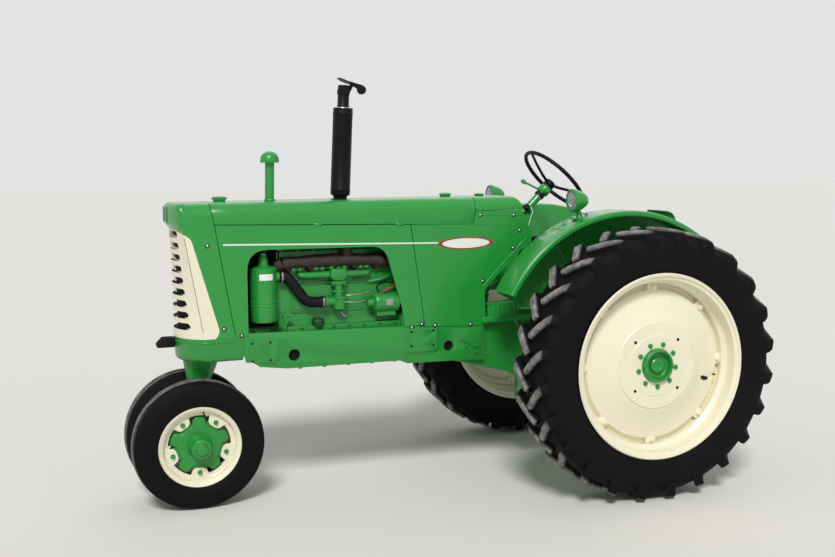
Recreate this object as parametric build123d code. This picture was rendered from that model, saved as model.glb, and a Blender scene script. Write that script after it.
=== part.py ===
from build123d import *
import math
import os

# Row-crop farm tractor with a narrow twin front wheel, in millimetres.
# X runs forwards, Y to the driver's left and Z up. Lengthwise places are
# measured from the rear axle, and every piece is shifted once, at the end, so
# that the origin lies under the middle of the whole machine.

# Wheels and how they stand
WHEELBASE = 2376
REAR_TREAD = 1728
REAR_TYRE_R = 755
REAR_TYRE_HALF_W = 170
REAR_CARCASS_R = REAR_TYRE_R - 38
REAR_RIM_R = 508
REAR_RIM_HALF_W = 162
REAR_BEAD_R = 483
REAR_RIM_SHEET = 7
FRONT_TYRE_R = 360
FRONT_TYRE_HALF_W = 82
FRONT_RIM_R = 221
FRONT_RIM_HALF_W = 66
FRONT_BEAD_R = 203
FRONT_SPACING = 312
CAMBER_DEG = 5
CASTER_DEG = 6.5
RUNNING_GAP = 0.5

# Lugs of the rear tyres
LUGS_PER_SIDE = 24
LUG_PATH_DEG = 42

# Height of the rear axle that the body's heights are given for, and how far
# other rear tyres lift the body
BODY_AXLE_Z = 755
BODY_LIFT = REAR_TYRE_R - BODY_AXLE_Z

# Bodywork
HOOD_HALF_W = 225
HOOD_TOP_Z = 1668
HOOD_CORNER_R = 70
SHEET = 4
COWL_REAR_X = 452
COWL_FOOT_X = 700
HOOD_REAR_X = COWL_REAR_X + 53
HOOD_FRONT_X = WHEELBASE - 88
COWL_TOP_FRONT_X = 750
COWL_TOP_LOW_Z = 1592
BELT_FRONT_X = WHEELBASE - 177
BELT_FRONT_Z = 1552
BELT_REAR_X = 514
BELT_REAR_Z = 1508
PANEL_SEAM_TOP_X = 1153
PANEL_SEAM_LOW_X = PANEL_SEAM_TOP_X - 80
PANEL_LOW_Z = 945
NOSE_SEAM_LOW_X = WHEELBASE - 207
NOSE_LOW_Z = 940
NOSE_FRONT_X = WHEELBASE + 90
NOSE_CAP_FRONT_X = NOSE_FRONT_X + 28
NOSE_CAP_CREASE_X = NOSE_FRONT_X - 18
CAP_EASE = 0.5
NOSE_BACK_X = NOSE_SEAM_LOW_X - 29
GRILLE_SHEET = 3
NOSE_CREASE_LOW_X = NOSE_FRONT_X - 128
NOSE_CREASE_TOP_X = NOSE_FRONT_X - 24
GRILLE_SLOTS = 9
GRILLE_SLOT_PITCH = 62
GRILLE_SLOT_H = 38
GRILLE_SLOT_TOP_Z = 1502
GRILLE_SLOT_TOP_HALF = 138
GRILLE_SLOT_LOW_HALF = 175
SEAM_GAP = 0.3
SEAT_GAP = 0.3
SUPPORT_TOP_Z = NOSE_LOW_Z - SEAT_GAP
SUPPORT_REAR_X = WHEELBASE - 240

# Frame
RAIL_OUTER_Y = HOOD_HALF_W - SHEET - SEAT_GAP
RAIL_INNER_Y = 190
RAIL_REAR_X = 700
PAD_OUTER_Y = 228
PAD_HOLE_R = 7
FRONT_PAD_X = SUPPORT_REAR_X - 106
FRONT_PAD_Z = 853
FRONT_PAD_PITCH_X = 100
FRONT_PAD_PITCH_Z = 98
REAR_PAD_X = RAIL_REAR_X + 388
REAR_PAD_Z = 866
REAR_PAD_PITCH_X = 135
REAR_PAD_PITCH_Z = 84

# Engine
BLOCK_HALF_W = 100
PAN_HALF_W = 150
BLOCK_REAR_X = 1200
BLOCK_FRONT_X = 1890
BLOCK_LOW_Z = 945
PAN_LOW_Z = 752
BLOCK_TOP_Z = 1290
HEAD_TOP_Z = 1385
ROCKER_COVER_TOP_Z = 1460
CRANK_Z = 1010
FAN_X = BLOCK_FRONT_X + 232
FAN_Z = 1240
FAN_SHAFT_R = 15

# Driveline and rear
GEARBOX_HALF_W = RAIL_INNER_Y
GEARBOX_REAR_X = 330
GEARBOX_TOP_Z = 1000
GEARBOX_LOW_Z = 560
REAR_HOUSING_TOP_Z = GEARBOX_TOP_Z + 50
REAR_HOUSING_HALF_W = 210
AXLE_HOUSING_END_Y = 655
AXLE_R = 38
PTO_R = 17.45
PTO_Z = 640
PTO_END_X = -420
PTO_SPLINE_LENGTH = 100
PTO_COLLAR_R = 22
DRAWBAR_PIN_X = 330
DRAWBAR_END_X = -810
DRAWBAR_Z = 400
DRAWBAR_W = 76
DRAWBAR_T = 32
DRAWBAR_HOLE_R = 16
HANGER_X = -330
HANGER_HALF_W = 330
HANGER_ARM_T = 15.4

# Driver's place
STEER_WHEEL_X = 128
STEER_WHEEL_Z = 1761
STEER_WHEEL_R = 226
STEER_RIM_R = 12
STEER_TILT_DEG = 46
STEER_DISH = 45
STEER_STEM_R = 14
STEER_COLUMN_R = 24
FENDER_R = REAR_TYRE_R + 81
FENDER_SHEET = 3
FENDER_LOW_Z = BODY_AXLE_Z + 285
FENDER_SEAT_Z = BODY_AXLE_Z + 106
FENDER_FROM_DEG = 28
FENDER_TO_DEG = 152
FENDER_INNER_Y = 440
FENDER_OUTER_Y = 668

# Stacks
MUFFLER_X = BLOCK_REAR_X + 300
MUFFLER_LEAN_DEG = 3
MUFFLER_R = 56
MUFFLER_LOW_Z = 1690
TAIL_PIPE_R = 33
TAIL_PIPE_TOP_Z = 2312
MUFFLER_TOP_Z = TAIL_PIPE_TOP_Z - 127
RAIN_CAP_OPEN_DEG = 24
RAIN_CAP_PIN_R = 4
STACK_X = BLOCK_FRONT_X + 25
STACK_R = 26
STACK_TOP_Z = 1890
STACK_CAP_R = 53

# Engine's outer parts at its left side
MANIFOLD_Y = 140
MANIFOLD_Z = 1326
MANIFOLD_R = 36
INTAKE_Y = 136
INTAKE_Z = 1250
CARB_X = BLOCK_REAR_X + 362
CARB_Y = 144
CARB_FLANGE_Z = 1215
CARB_INLET_Z = 1100
CARB_INLET_REACH = 82
DUCT_R = 28
DUCT_START_X = BLOCK_FRONT_X + 15
CANISTER_X = BLOCK_FRONT_X + 100
CANISTER_Y = 136
CANISTER_R = 75
CANISTER_LOW_Z = 1005
CANISTER_TOP_Z = 1300
CANISTER_SPOUT_Z = 1255
CANISTER_NECK_Z = 1376
GENERATOR_Y = 160
GENERATOR_Z = 1083
GENERATOR_R = 56
GENERATOR_LENGTH = 158

# Engine's outer parts at its right side
STARTER_Y = -156
STARTER_Z = 1060
STARTER_R = 54
STARTER_LENGTH = 180
STARTER_SOLENOID_R = 22
OIL_FILTER_X = BLOCK_FRONT_X - 150
OIL_FILTER_Y = -152
OIL_FILTER_R = 46
OIL_FILTER_LOW_Z = 1010

# Radiator
RADIATOR_HALF_W = 185
RADIATOR_TOP_Z = 1520
RADIATOR_LOW_Z = 1010
RADIATOR_X = WHEELBASE - 146
RADIATOR_CORE_T = 80
RADIATOR_TANK_T = 110
FILLER_X = RADIATOR_X - 34

# Steering pedestal
PEDESTAL_LOW_Z = 680
PEDESTAL_TOP_Z = 800
KINGPIN_R = 30

# Headlamps
LAMP_X = 300
LAMP_Y = 560
LAMP_R = 66
LAMP_LENS_R = 57
LAMP_Z = BODY_AXLE_Z + FENDER_R + 59

# Seat
SEAT_FRONT_X = -290
SEAT_REAR_X = -640
SEAT_PAN_Z = 1250
SEAT_PAN_T = 12
SEAT_PAD_TOP_Z = 1330

# Cab floor
PLATFORM_Z = BODY_AXLE_Z + 185
PLATFORM_REAR_X = -150
PLATFORM_LENGTH = 560
PEDAL_Y = 205
PEDAL_PIVOT_X = 470
PEDAL_PIVOT_Z = 900

# Where the rear axle lies from the middle of the whole length
OVERALL_FRONT_X = WHEELBASE + FRONT_TYRE_R
REAR_AXLE_X = -(OVERALL_FRONT_X + DRAWBAR_END_X) / 2

os.makedirs("parts", exist_ok=True)


def cos_deg(angle):
    return math.cos(math.radians(angle))


def sin_deg(angle):
    return math.sin(math.radians(angle))


def tan_deg(angle):
    return math.tan(math.radians(angle))


def side_plate(points, y_low, y_high, radius=0):
    """Outline in X and Z, drawn out between two Y planes."""
    line = FilletPolyline(*points, radius=radius, close=True) if radius else Polyline(*points, close=True)
    face = make_face(line)
    return Pos(0, y_high, 0) * (Plane.XZ * extrude(face, y_high - y_low))


def cross_plate(points, x_low, x_high, radius=0):
    """Outline in Y and Z, drawn out between two X planes."""
    line = FilletPolyline(*points, radius=radius, close=True) if radius else Polyline(*points, close=True)
    face = make_face(line)
    return Pos(x_low, 0, 0) * (Plane.YZ * extrude(face, x_high - x_low))


def flat_plate(points, z_low, z_high, radius=0):
    """Outline in X and Y, drawn out between two Z planes."""
    line = FilletPolyline(*points, radius=radius, close=True) if radius else Polyline(*points, close=True)
    face = make_face(line)
    return Pos(0, 0, z_low) * extrude(face, z_high - z_low)


def block(x_low, x_high, y_low, y_high, z_low, z_high):
    """Box between two corners."""
    middle = ((x_low + x_high) / 2, (y_low + y_high) / 2, (z_low + z_high) / 2)
    return Pos(*middle) * Box(x_high - x_low, y_high - y_low, z_high - z_low)


def rod(start, end, radius, end_radius=None):
    """Round bar, or a cone, between two points."""
    along = Vector(*end) - Vector(*start)
    plane = Plane(origin=start, z_dir=along)
    if end_radius is None or end_radius == radius:
        solid = Cylinder(radius, along.length, align=(Align.CENTER, Align.CENTER, Align.MIN))
    else:
        solid = Cone(radius, end_radius, along.length, align=(Align.CENTER, Align.CENTER, Align.MIN))
    return plane * solid


def bent_rod(points, radius, bend):
    """Round bar along straight runs joined by arcs."""
    path = FilletPolyline(*points, radius=bend)
    along = Vector(*points[1]) - Vector(*points[0])
    section = Plane(origin=points[0], z_dir=along) * Circle(radius)
    return sweep(section, path)


def turned(points):
    """Solid of revolution about X from an outline of X and radius."""
    face = make_face(Polyline(*points, close=True))
    return revolve(face, Axis.X)


def offset_path(points, distance):
    """Points set off to the left of an open path, mitred at its corners."""
    shifted = []
    for index, (x, y) in enumerate(points):
        before = points[max(index - 1, 0)]
        after = points[min(index + 1, len(points) - 1)]
        into = Vector(x - before[0], y - before[1]) if index else Vector(after[0] - x, after[1] - y)
        out = Vector(after[0] - x, after[1] - y) if index < len(points) - 1 else into
        into = into.normalized()
        out = out.normalized()
        normal = Vector(-into.Y - out.Y, into.X + out.X).normalized()
        reach = distance / max(normal.X * -into.Y + normal.Y * into.X, 0.3)
        shifted.append((x + normal.X * reach, y + normal.Y * reach))
    return shifted


def band(points, thickness):
    """Closed outline of a sheet laid on the left side of an open path."""
    return points + offset_path(points, thickness)[::-1]


def mirrored(solid):
    """The same piece on the other side of the machine."""
    return mirror(solid, Plane.XZ)


def belt_z(x):
    """Height of the hinge line between the hood's top and its sides."""
    slope = (BELT_FRONT_Z - BELT_REAR_Z) / (BELT_FRONT_X - BELT_REAR_X)
    return BELT_REAR_Z + slope * (x - BELT_REAR_X)


# Rear wheels

# Sections of one lug from the tread's centre to its shoulder, as
# (place along the axle, lag in degrees, base radius, top radius, half width at base, half width at top)
LUG_SECTIONS = (
    (-4, 0.0, REAR_CARCASS_R - 17, REAR_TYRE_R - 0.2, 24, 15),
    (76, 5.2, REAR_CARCASS_R - 17, REAR_TYRE_R - 1.0, 28, 18),
    (134, 8.4, REAR_CARCASS_R - 37, REAR_TYRE_R - 9, 31, 22),
    (153, 9.4, REAR_CARCASS_R - 67, REAR_TYRE_R - 44, 33, 25),
)


def rear_carcass():
    """Tyre body without lugs, about X, its outer side at +X."""
    bead = REAR_RIM_HALF_W - 14
    side = REAR_TYRE_HALF_W
    seat = REAR_BEAD_R + SEAT_GAP
    foot = REAR_RIM_R + 4
    bulge = (foot + REAR_CARCASS_R) / 2 - 14.5
    shoulder = REAR_CARCASS_R - 21
    lines = [
        Line((-bead, seat), (bead, seat)),
        Line((bead, seat), (bead, foot)),
        ThreePointArc((bead, foot), (side, bulge), (side - 22, shoulder)),
        ThreePointArc((side - 22, shoulder), (0, REAR_CARCASS_R), (22 - side, shoulder)),
        ThreePointArc((22 - side, shoulder), (-side, bulge), (-bead, foot)),
        Line((-bead, foot), (-bead, seat)),
    ]
    return revolve(make_face(Curve() + lines), Axis.X)


def lug():
    """One lug, from the middle of the tread out over the shoulder at +X."""
    sections = []
    for along, lag, base_r, top_r, base_half, top_half in LUG_SECTIONS:
        outwards = Vector(0, sin_deg(lag), cos_deg(lag))
        round_way = Vector(0, cos_deg(lag), -sin_deg(lag))
        across = Vector(-sin_deg(LUG_PATH_DEG), 0, 0) + round_way * cos_deg(LUG_PATH_DEG)
        foot = Vector(along, 0, 0) + outwards * base_r
        head = Vector(along, 0, 0) + outwards * top_r
        corners = [
            foot - across * base_half,
            foot + across * base_half,
            head + across * top_half,
            head - across * top_half,
        ]
        sections.append(make_face(Polyline(*corners, close=True)))
    return loft(sections, ruled=True)


def rear_tyre():
    """Tyre about X with both rows of lugs."""
    pitch = 360 / LUGS_PER_SIDE
    outer_lug = lug()
    inner_lug = mirror(outer_lug, Plane.YZ)
    lugs = []
    for index in range(LUGS_PER_SIDE):
        lugs.append(Rot(index * pitch, 0, 0) * outer_lug)
        lugs.append(Rot((index + 0.5) * pitch, 0, 0) * inner_lug)
    return rear_carcass() + lugs


def rear_rim():
    """Drop-centre rim, dished disc and their clamps, about X."""
    edge = REAR_RIM_HALF_W
    bed = REAR_BEAD_R
    well = bed - 26
    bed_path = [
        (edge, REAR_RIM_R), (edge - 9, REAR_RIM_R - 2), (edge - 12, bed), (70, bed), (48, well),
        (-48, well), (-70, bed), (12 - edge, bed), (9 - edge, REAR_RIM_R - 2), (-edge, REAR_RIM_R),
    ]
    rim = turned(band(bed_path, REAR_RIM_SHEET))
    disc_path = [(32, 428), (60, 412), (97, 262), (107, 242), (107, 86)]
    disc = turned(band(disc_path, -8))
    clamps = []
    for index in range(8):
        clamp = side_plate([(0, 0), (34, 0), (34, 30), (20, 48), (0, 48)], -22, 22)
        place = Pos(24, 0, 408) * clamp
        clamps.append(Rot(index * 45, 0, 0) * place)
    wheel = rim + disc + clamps
    holes = []
    for index in range(4):
        turn = index * 90 + 45
        holes.append(Pos(100, 190 * cos_deg(turn), 190 * sin_deg(turn)) * Rot(0, 90, 0) * Cylinder(9, 60))
    return wheel - holes


def rear_hub():
    """Axle shaft with its wheel flange and open hub end, about X."""
    flange_face = 99
    outline = [
        (-230, 0), (-230, AXLE_R), (40, AXLE_R), (52, 70), (78, 84), (86, 84), (86, 140), (flange_face, 140),
        (flange_face, 85), (flange_face + 38, 85), (flange_face + 40, 83), (flange_face + 40, 70),
        (flange_face + 4, 66), (flange_face + 4, 42), (flange_face + 26, 38), (flange_face + 26, 0),
    ]
    return turned(outline)


def on_rear_axle(solid):
    """Set a piece made about X on the left end of the rear axle."""
    return Pos(0, REAR_TREAD / 2, REAR_TYRE_R) * Rot(0, 0, 90) * solid


# Front wheels


def front_tyre():
    """Three-rib tyre about X, its outer side at +X."""
    bead = FRONT_RIM_HALF_W - 8
    side = FRONT_TYRE_HALF_W
    crown = FRONT_TYRE_R
    half_ribs = [(60, crown - 18), (56, crown - 7), (34, crown - 3), (31, crown - 13), (17, crown - 13),
                 (14, crown)]
    ribs = half_ribs + [(-x, r) for x, r in half_ribs[::-1]]
    lines = [
        Line((-bead, FRONT_BEAD_R + SEAT_GAP), (bead, FRONT_BEAD_R + SEAT_GAP)),
        Line((bead, FRONT_BEAD_R + SEAT_GAP), (bead, FRONT_RIM_R + 3)),
        ThreePointArc((bead, FRONT_RIM_R + 3), (side, 288), ribs[0]),
        Polyline(*ribs),
        ThreePointArc(ribs[-1], (-side, 288), (-bead, FRONT_RIM_R + 3)),
        Line((-bead, FRONT_RIM_R + 3), (-bead, FRONT_BEAD_R + SEAT_GAP)),
    ]
    return revolve(make_face(Curve() + lines), Axis.X)


def front_rim():
    """Drop-centre rim with five inward tabs, about X."""
    edge = FRONT_RIM_HALF_W
    bed = FRONT_BEAD_R
    path = [
        (edge, FRONT_RIM_R), (edge - 5, FRONT_RIM_R - 1), (edge - 7, bed), (30, bed), (22, bed - 18),
        (-22, bed - 18), (-30, bed), (7 - edge, bed), (5 - edge, FRONT_RIM_R - 1), (-edge, FRONT_RIM_R),
    ]
    rim = turned(band(path, 5))
    tabs = []
    for index in range(5):
        outline = [(-44, 192), (44, 192), (30, 124), (-30, 124)]
        tab = cross_plate(outline, 24, 32, 10)
        tabs.append(Rot(index * 72 + 36, 0, 0) * tab)
    return rim + tabs


def front_hub():
    """Cast hub with five lobes and a long bearing boss, about X."""
    barrel = turned([(-62, RUNNING_GAP + 24), (-62, 52), (-40, 58), (16, 60), (40, 62), (62, 54), (112, 50),
                     (122, 40), (122, 0), (96, 0), (96, RUNNING_GAP + 24)])
    plate = Pos(10, 0, 0) * Rot(0, 90, 0) * Cylinder(118, 24, align=(Align.CENTER, Align.CENTER, Align.MIN))
    lobes = []
    for index in range(5):
        lobe = cross_plate([(-40, 90), (40, 90), (36, 166), (-36, 166)], 10, 34, 12)
        seat = cross_plate([(-44, 90), (44, 90), (34, 164), (-34, 164)], 10, 24, 12)
        lobes.append(Rot(index * 72, 0, 0) * lobe)
        lobes.append(Rot(index * 72 + 36, 0, 0) * seat)
    plate = plate - Rot(0, 90, 0) * Cylinder(50, 80)
    return barrel + plate + lobes


def front_low_point():
    """Height of a front wheel's centre over the ground, from its tread and camber."""
    treads = ((14, FRONT_TYRE_R), (34, FRONT_TYRE_R - 3), (56, FRONT_TYRE_R - 7))
    return max(radius * cos_deg(CAMBER_DEG) + along * sin_deg(CAMBER_DEG) for along, radius in treads)


FRONT_AXLE_Z = front_low_point()


def on_front_axle(solid):
    """Set a piece made about X on the left end of the front axle."""
    return (
        Pos(WHEELBASE, FRONT_SPACING / 2, FRONT_AXLE_Z) * Rot(-CAMBER_DEG, 0, 0) * Rot(0, 0, 90) * solid
    )


def kingpin_point(height):
    """Point of the steering axis at a height over the ground."""
    return (WHEELBASE - (height - FRONT_AXLE_Z) * tan_deg(CASTER_DEG), 0, height)


def pedestal_point(height):
    """Point of the steering axis at one of the body's own heights."""
    x, y, _ = kingpin_point(height + BODY_LIFT)
    return (x, y, height)


def bolster():
    """Upright steering spindle with the two stub axles."""
    seat_z = PEDESTAL_LOW_Z + BODY_LIFT
    pin_top_z = PEDESTAL_TOP_Z + BODY_LIFT - 10
    shaft = rod(kingpin_point(FRONT_AXLE_Z + 90), kingpin_point(seat_z - 6), 48, 60)
    collar = rod(kingpin_point(seat_z - 30), kingpin_point(seat_z - SEAT_GAP), 70)
    pin = rod(kingpin_point(seat_z - 10), kingpin_point(pin_top_z), KINGPIN_R)
    foot = rod(kingpin_point(FRONT_AXLE_Z - 62), kingpin_point(FRONT_AXLE_Z + 90), 56, 48)
    body = shaft + collar + foot + pin
    stubs = []
    for side in (1, -1):
        centre = Vector(WHEELBASE, side * FRONT_SPACING / 2, FRONT_AXLE_Z)
        along = Vector(0, side * cos_deg(CAMBER_DEG), -sin_deg(CAMBER_DEG))
        start = centre - along * 150
        shoulder = centre - along * 66
        tip = centre + along * 92
        stubs.append(rod(tuple(start), tuple(shoulder), 40))
        stubs.append(rod(tuple(start), tuple(tip), 24))
    return body + stubs


# Frame


# Sections of the support casting, as (height, inset from the nose's outline, rear end)
SUPPORT_SECTIONS = (
    (SUPPORT_TOP_Z, 0, SUPPORT_REAR_X),
    (866, 8, SUPPORT_REAR_X),
    (812, 62, SUPPORT_REAR_X + 54),
)


def front_support():
    """Casting under the radiator with the pedestal that holds the steering spindle."""
    sections = [nose_plan(z, inset, back, NOSE_LOW_Z) for z, inset, back in SUPPORT_SECTIONS]
    top = loft(sections[:2], ruled=True)
    lower = loft(sections[1:], ruled=True)
    cone = rod(pedestal_point(PEDESTAL_LOW_Z), pedestal_point(PEDESTAL_TOP_Z + 20), 66, 104)
    lip = rod(pedestal_point(PEDESTAL_TOP_Z), pedestal_point(PEDESTAL_TOP_Z + 14), 112)
    bore = rod(pedestal_point(PEDESTAL_LOW_Z - 5), pedestal_point(PEDESTAL_TOP_Z), KINGPIN_R + SEAT_GAP)
    return top + lower + cone + lip - bore


# Fastening pads on a frame rail, as (X that the pad is placed by, its outline as (along from there, Z))
PAD_OUTLINES = (
    (FRONT_PAD_X, ((-100, 924), (90, 924), (90, 800), (-70, 790), (-100, 820))),
    (REAR_PAD_X, ((-93, 925), (102, 925), (102, 800), (82, 790), (-78, 790), (-93, 805))),
    (RAIL_REAR_X, ((20, 912), (160, 912), (160, 850), (50, 790), (20, 800))),
)


def frame_rail():
    """Left side casting of the frame with its fastening pads."""
    outline = [
        (SUPPORT_REAR_X, SUPPORT_TOP_Z), (SUPPORT_REAR_X - 11, 958), (BLOCK_REAR_X, 943), (RAIL_REAR_X, 925),
        (RAIL_REAR_X, 716), (RAIL_REAR_X + 213, 724), (BLOCK_REAR_X - 20, 727), (BLOCK_REAR_X + 28, 747),
        (BLOCK_FRONT_X - 4, 750), (SUPPORT_REAR_X - 96, 770), (SUPPORT_REAR_X, 838),
    ]
    rail = side_plate(outline, RAIL_INNER_Y, RAIL_OUTER_Y)
    pads = []
    for x, outline in PAD_OUTLINES:
        points = [(x + along, z) for along, z in outline]
        pads.append(side_plate(points, RAIL_OUTER_Y - 1, PAD_OUTER_Y, 10))
    lip_start = BLOCK_REAR_X + 28
    lip_end = BLOCK_FRONT_X - 4
    lip = side_plate([(lip_start, 747), (lip_end, 750), (lip_end, 770), (lip_start, 767)], RAIL_INNER_Y - 40,
                     RAIL_INNER_Y + 1)
    holes = []
    for x, z, pitch_x, pitch_z in (
        (FRONT_PAD_X, FRONT_PAD_Z, FRONT_PAD_PITCH_X, FRONT_PAD_PITCH_Z),
        (REAR_PAD_X, REAR_PAD_Z, REAR_PAD_PITCH_X, REAR_PAD_PITCH_Z),
    ):
        for step_x in (-0.5, 0.5):
            for step_z in (-0.5, 0.5):
                place = Pos(x + step_x * pitch_x, RAIL_OUTER_Y, z + step_z * pitch_z)
                holes.append(place * Rot(90, 0, 0) * Cylinder(PAD_HOLE_R, 90))
    for x, z, radius in ((FRONT_PAD_X - 185, 822, 33), (REAR_PAD_X - 163, 812, 31)):
        holes.append(Pos(x, RAIL_OUTER_Y, z) * Rot(90, 0, 0) * Cylinder(radius, 90))
    return rail + pads + lip - holes


# Engine


def engine_block():
    """Engine with its head, rocker cover and oil pan, open to view at both sides."""
    half = BLOCK_HALF_W
    flange = PAN_HALF_W
    crankcase = block(BLOCK_REAR_X, BLOCK_FRONT_X, -flange, flange, BLOCK_LOW_Z - 40, BLOCK_LOW_Z + 25)
    cylinders = block(BLOCK_REAR_X, BLOCK_FRONT_X, -half, half, BLOCK_LOW_Z, HEAD_TOP_Z)
    gear_cover = block(BLOCK_FRONT_X - 1, BLOCK_FRONT_X + 16, -half, half, BLOCK_LOW_Z, 1240)
    pulley = rod((BLOCK_FRONT_X + 10, 0, CRANK_Z), (BLOCK_FRONT_X + 70, 0, CRANK_Z), 54)
    bearing_end = FAN_X - 40
    fan_bearing = rod((BLOCK_FRONT_X - 1, 0, FAN_Z), (bearing_end, 0, FAN_Z), 34) - rod(
        (bearing_end - 12, 0, FAN_Z), (bearing_end + 1, 0, FAN_Z), FAN_SHAFT_R + RUNNING_GAP)
    cover_outline = [(-75, HEAD_TOP_Z - 1), (75, HEAD_TOP_Z - 1), (70, ROCKER_COVER_TOP_Z - 25),
                     (45, ROCKER_COVER_TOP_Z), (-45, ROCKER_COVER_TOP_Z), (-70, ROCKER_COVER_TOP_Z - 25)]
    cover = cross_plate(cover_outline, BLOCK_REAR_X + 40, BLOCK_FRONT_X - 40)
    pan_outline = [(-flange, BLOCK_LOW_Z - 39), (flange, BLOCK_LOW_Z - 39), (flange - 20, PAN_LOW_Z + 38),
                   (flange - 60, PAN_LOW_Z), (60 - flange, PAN_LOW_Z), (20 - flange, PAN_LOW_Z + 38)]
    pan = cross_plate(pan_outline, BLOCK_REAR_X + 10, BLOCK_FRONT_X - 60)
    return crankcase + cylinders + gear_cover + pulley + fan_bearing + cover + pan


def exhaust_manifold():
    """Log manifold over the intake, with its outlet up to the muffler."""
    z = MANIFOLD_Z
    y = MANIFOLD_Y
    log = rod((BLOCK_REAR_X + 100, y, z), (BLOCK_FRONT_X - 4, y, z), MANIFOLD_R)
    flanges = []
    for x in (BLOCK_REAR_X + 130, BLOCK_REAR_X + 390, BLOCK_FRONT_X - 40):
        flanges.append(block(x - 34, x + 34, BLOCK_HALF_W, y, z - 34, z + 34))
    riser_top = stack_point(HOOD_TOP_Z - 20)
    riser = bent_rod([(MUFFLER_X + 10, y, z + 10), (MUFFLER_X + 10, y, z + 110),
                      stack_point(HOOD_TOP_Z - 110), riser_top], 30, 30)
    return log + flanges + riser


def stack_point(z):
    """Point of the muffler's leaning axis at a height."""
    return (MUFFLER_X - (z - MUFFLER_LOW_Z) * tan_deg(MUFFLER_LEAN_DEG), 0, z)


def intake_manifold():
    """Intake log with a plenum over the carburettor."""
    z = INTAKE_Z
    y = INTAKE_Y
    log = rod((BLOCK_REAR_X + 170, y, z), (BLOCK_FRONT_X - 100, y, z), 17)
    ports = []
    for x in (BLOCK_REAR_X + 200, BLOCK_FRONT_X - 125):
        ports.append(block(x - 24, x + 24, BLOCK_HALF_W, y, z - 18, z + 18))
    x = CARB_X
    outline = [(x - 37, z + 35), (x + 43, z + 35), (x + 58, z - 10), (x + 28, CARB_FLANGE_Z),
               (x - 22, CARB_FLANGE_Z), (x - 52, z - 10)]
    plenum = side_plate(outline, BLOCK_HALF_W, BLOCK_HALF_W + 72)
    return log + ports + plenum


def carburettor():
    """Updraught carburettor hanging from the plenum."""
    x = CARB_X
    y = CARB_Y
    throat = rod((x, y, CARB_INLET_Z + 5), (x, y, CARB_FLANGE_Z), 24)
    flange = block(x - 42, x + 42, y - 26, y + 26, CARB_FLANGE_Z - 17, CARB_FLANGE_Z)
    bowl = rod((x - 6, y, CARB_INLET_Z - 54), (x - 6, y, CARB_INLET_Z + 28), 40)
    inlet = rod((x, y, CARB_INLET_Z), (x + CARB_INLET_REACH, y, CARB_INLET_Z), DUCT_R - 1)
    return throat + flange + bowl + inlet


def air_cleaner():
    """Oil-bath canister beside the engine with its neck."""
    x = CANISTER_X
    y = CANISTER_Y
    can = rod((x, y, CANISTER_LOW_Z), (x, y, CANISTER_TOP_Z), CANISTER_R)
    bands = []
    for z in (CANISTER_LOW_Z + 93, CANISTER_LOW_Z + 111):
        bands.append(rod((x, y, z), (x, y, z + 8), CANISTER_R + 2))
    dome = rod((x, y, CANISTER_TOP_Z), (x, y, CANISTER_TOP_Z + 16), CANISTER_R, 60)
    neck = rod((x, y, CANISTER_TOP_Z + 10), (x, y, CANISTER_NECK_Z), 27)
    spout = rod((x - 50, y, CANISTER_SPOUT_Z), (DUCT_START_X + SEAT_GAP, y, CANISTER_SPOUT_Z), DUCT_R)
    bracket = block(BLOCK_FRONT_X + 16, x - 40, 80, 98, 1150, 1180)
    return can + bands + dome + neck + spout + bracket


def air_hose():
    """Moulded rubber duct from the canister to the carburettor."""
    end_x = CARB_X + CARB_INLET_REACH + SEAT_GAP
    points = [
        (DUCT_START_X, CANISTER_Y, CANISTER_SPOUT_Z), (DUCT_START_X - 45, CANISTER_Y, CANISTER_SPOUT_Z),
        (DUCT_START_X - 105, CARB_Y, CARB_INLET_Z + 80), (DUCT_START_X - 160, CARB_Y, CARB_INLET_Z),
        (end_x, CARB_Y, CARB_INLET_Z),
    ]
    return bent_rod(points, DUCT_R, 30)


def intake_stack():
    """Pre-cleaner pipe that stands through the hood, with its mushroom cap."""
    low = bent_rod([(CANISTER_X, CANISTER_Y, CANISTER_NECK_Z + SEAT_GAP), (CANISTER_X, CANISTER_Y, 1450),
                    (STACK_X, 0, 1540), (STACK_X, 0, 1600)], STACK_R, 34)
    pipe = rod((STACK_X, 0, 1600), (STACK_X - 8, 0, STACK_TOP_Z), STACK_R)
    cap_x = STACK_X - 8
    edge = STACK_CAP_R
    profile = Polyline((0, 0), (40, 0), (edge, 6), (edge, 42), (44, 56), (0, 62), close=True)
    cap = Pos(cap_x, 0, STACK_TOP_Z - 8) * revolve(make_face(profile).rotate(Axis.X, 90), Axis.Z)
    return low + pipe + cap


def generator():
    """Generator low on the left side of the engine."""
    z = GENERATOR_Z
    y = GENERATOR_Y
    start = BLOCK_REAR_X + 18
    end = start + GENERATOR_LENGTH
    body = rod((start, y, z), (end, y, z), GENERATOR_R)
    nose = rod((end, y, z), (end + 20, y, z), 40)
    tail = rod((start - 12, y, z), (start, y, z), 42)
    low = z - GENERATOR_R - 22
    outline = [(start + 22, low), (start + 132, low), (start + 122, low + 55), (start + 32, low + 55)]
    cradle = side_plate(outline, BLOCK_HALF_W, y + 20)
    return body + nose + tail + cradle


def starter():
    """Starting motor with its solenoid, low on the engine's right side."""
    y = STARTER_Y
    z = STARTER_Z
    start = BLOCK_REAR_X + 14
    end = start + STARTER_LENGTH
    solenoid_z = z + STARTER_R + STARTER_SOLENOID_R - 3
    body = rod((start, y, z), (end, y, z), STARTER_R)
    cap = rod((end, y, z), (end + 14, y, z), STARTER_R - 10)
    solenoid = rod((start + 16, y, solenoid_z), (end - 50, y, solenoid_z), STARTER_SOLENOID_R)
    saddle = block(start + 24, end - 40, y, -BLOCK_HALF_W, z - 26, z + 26)
    return body + cap + solenoid + saddle


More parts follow.
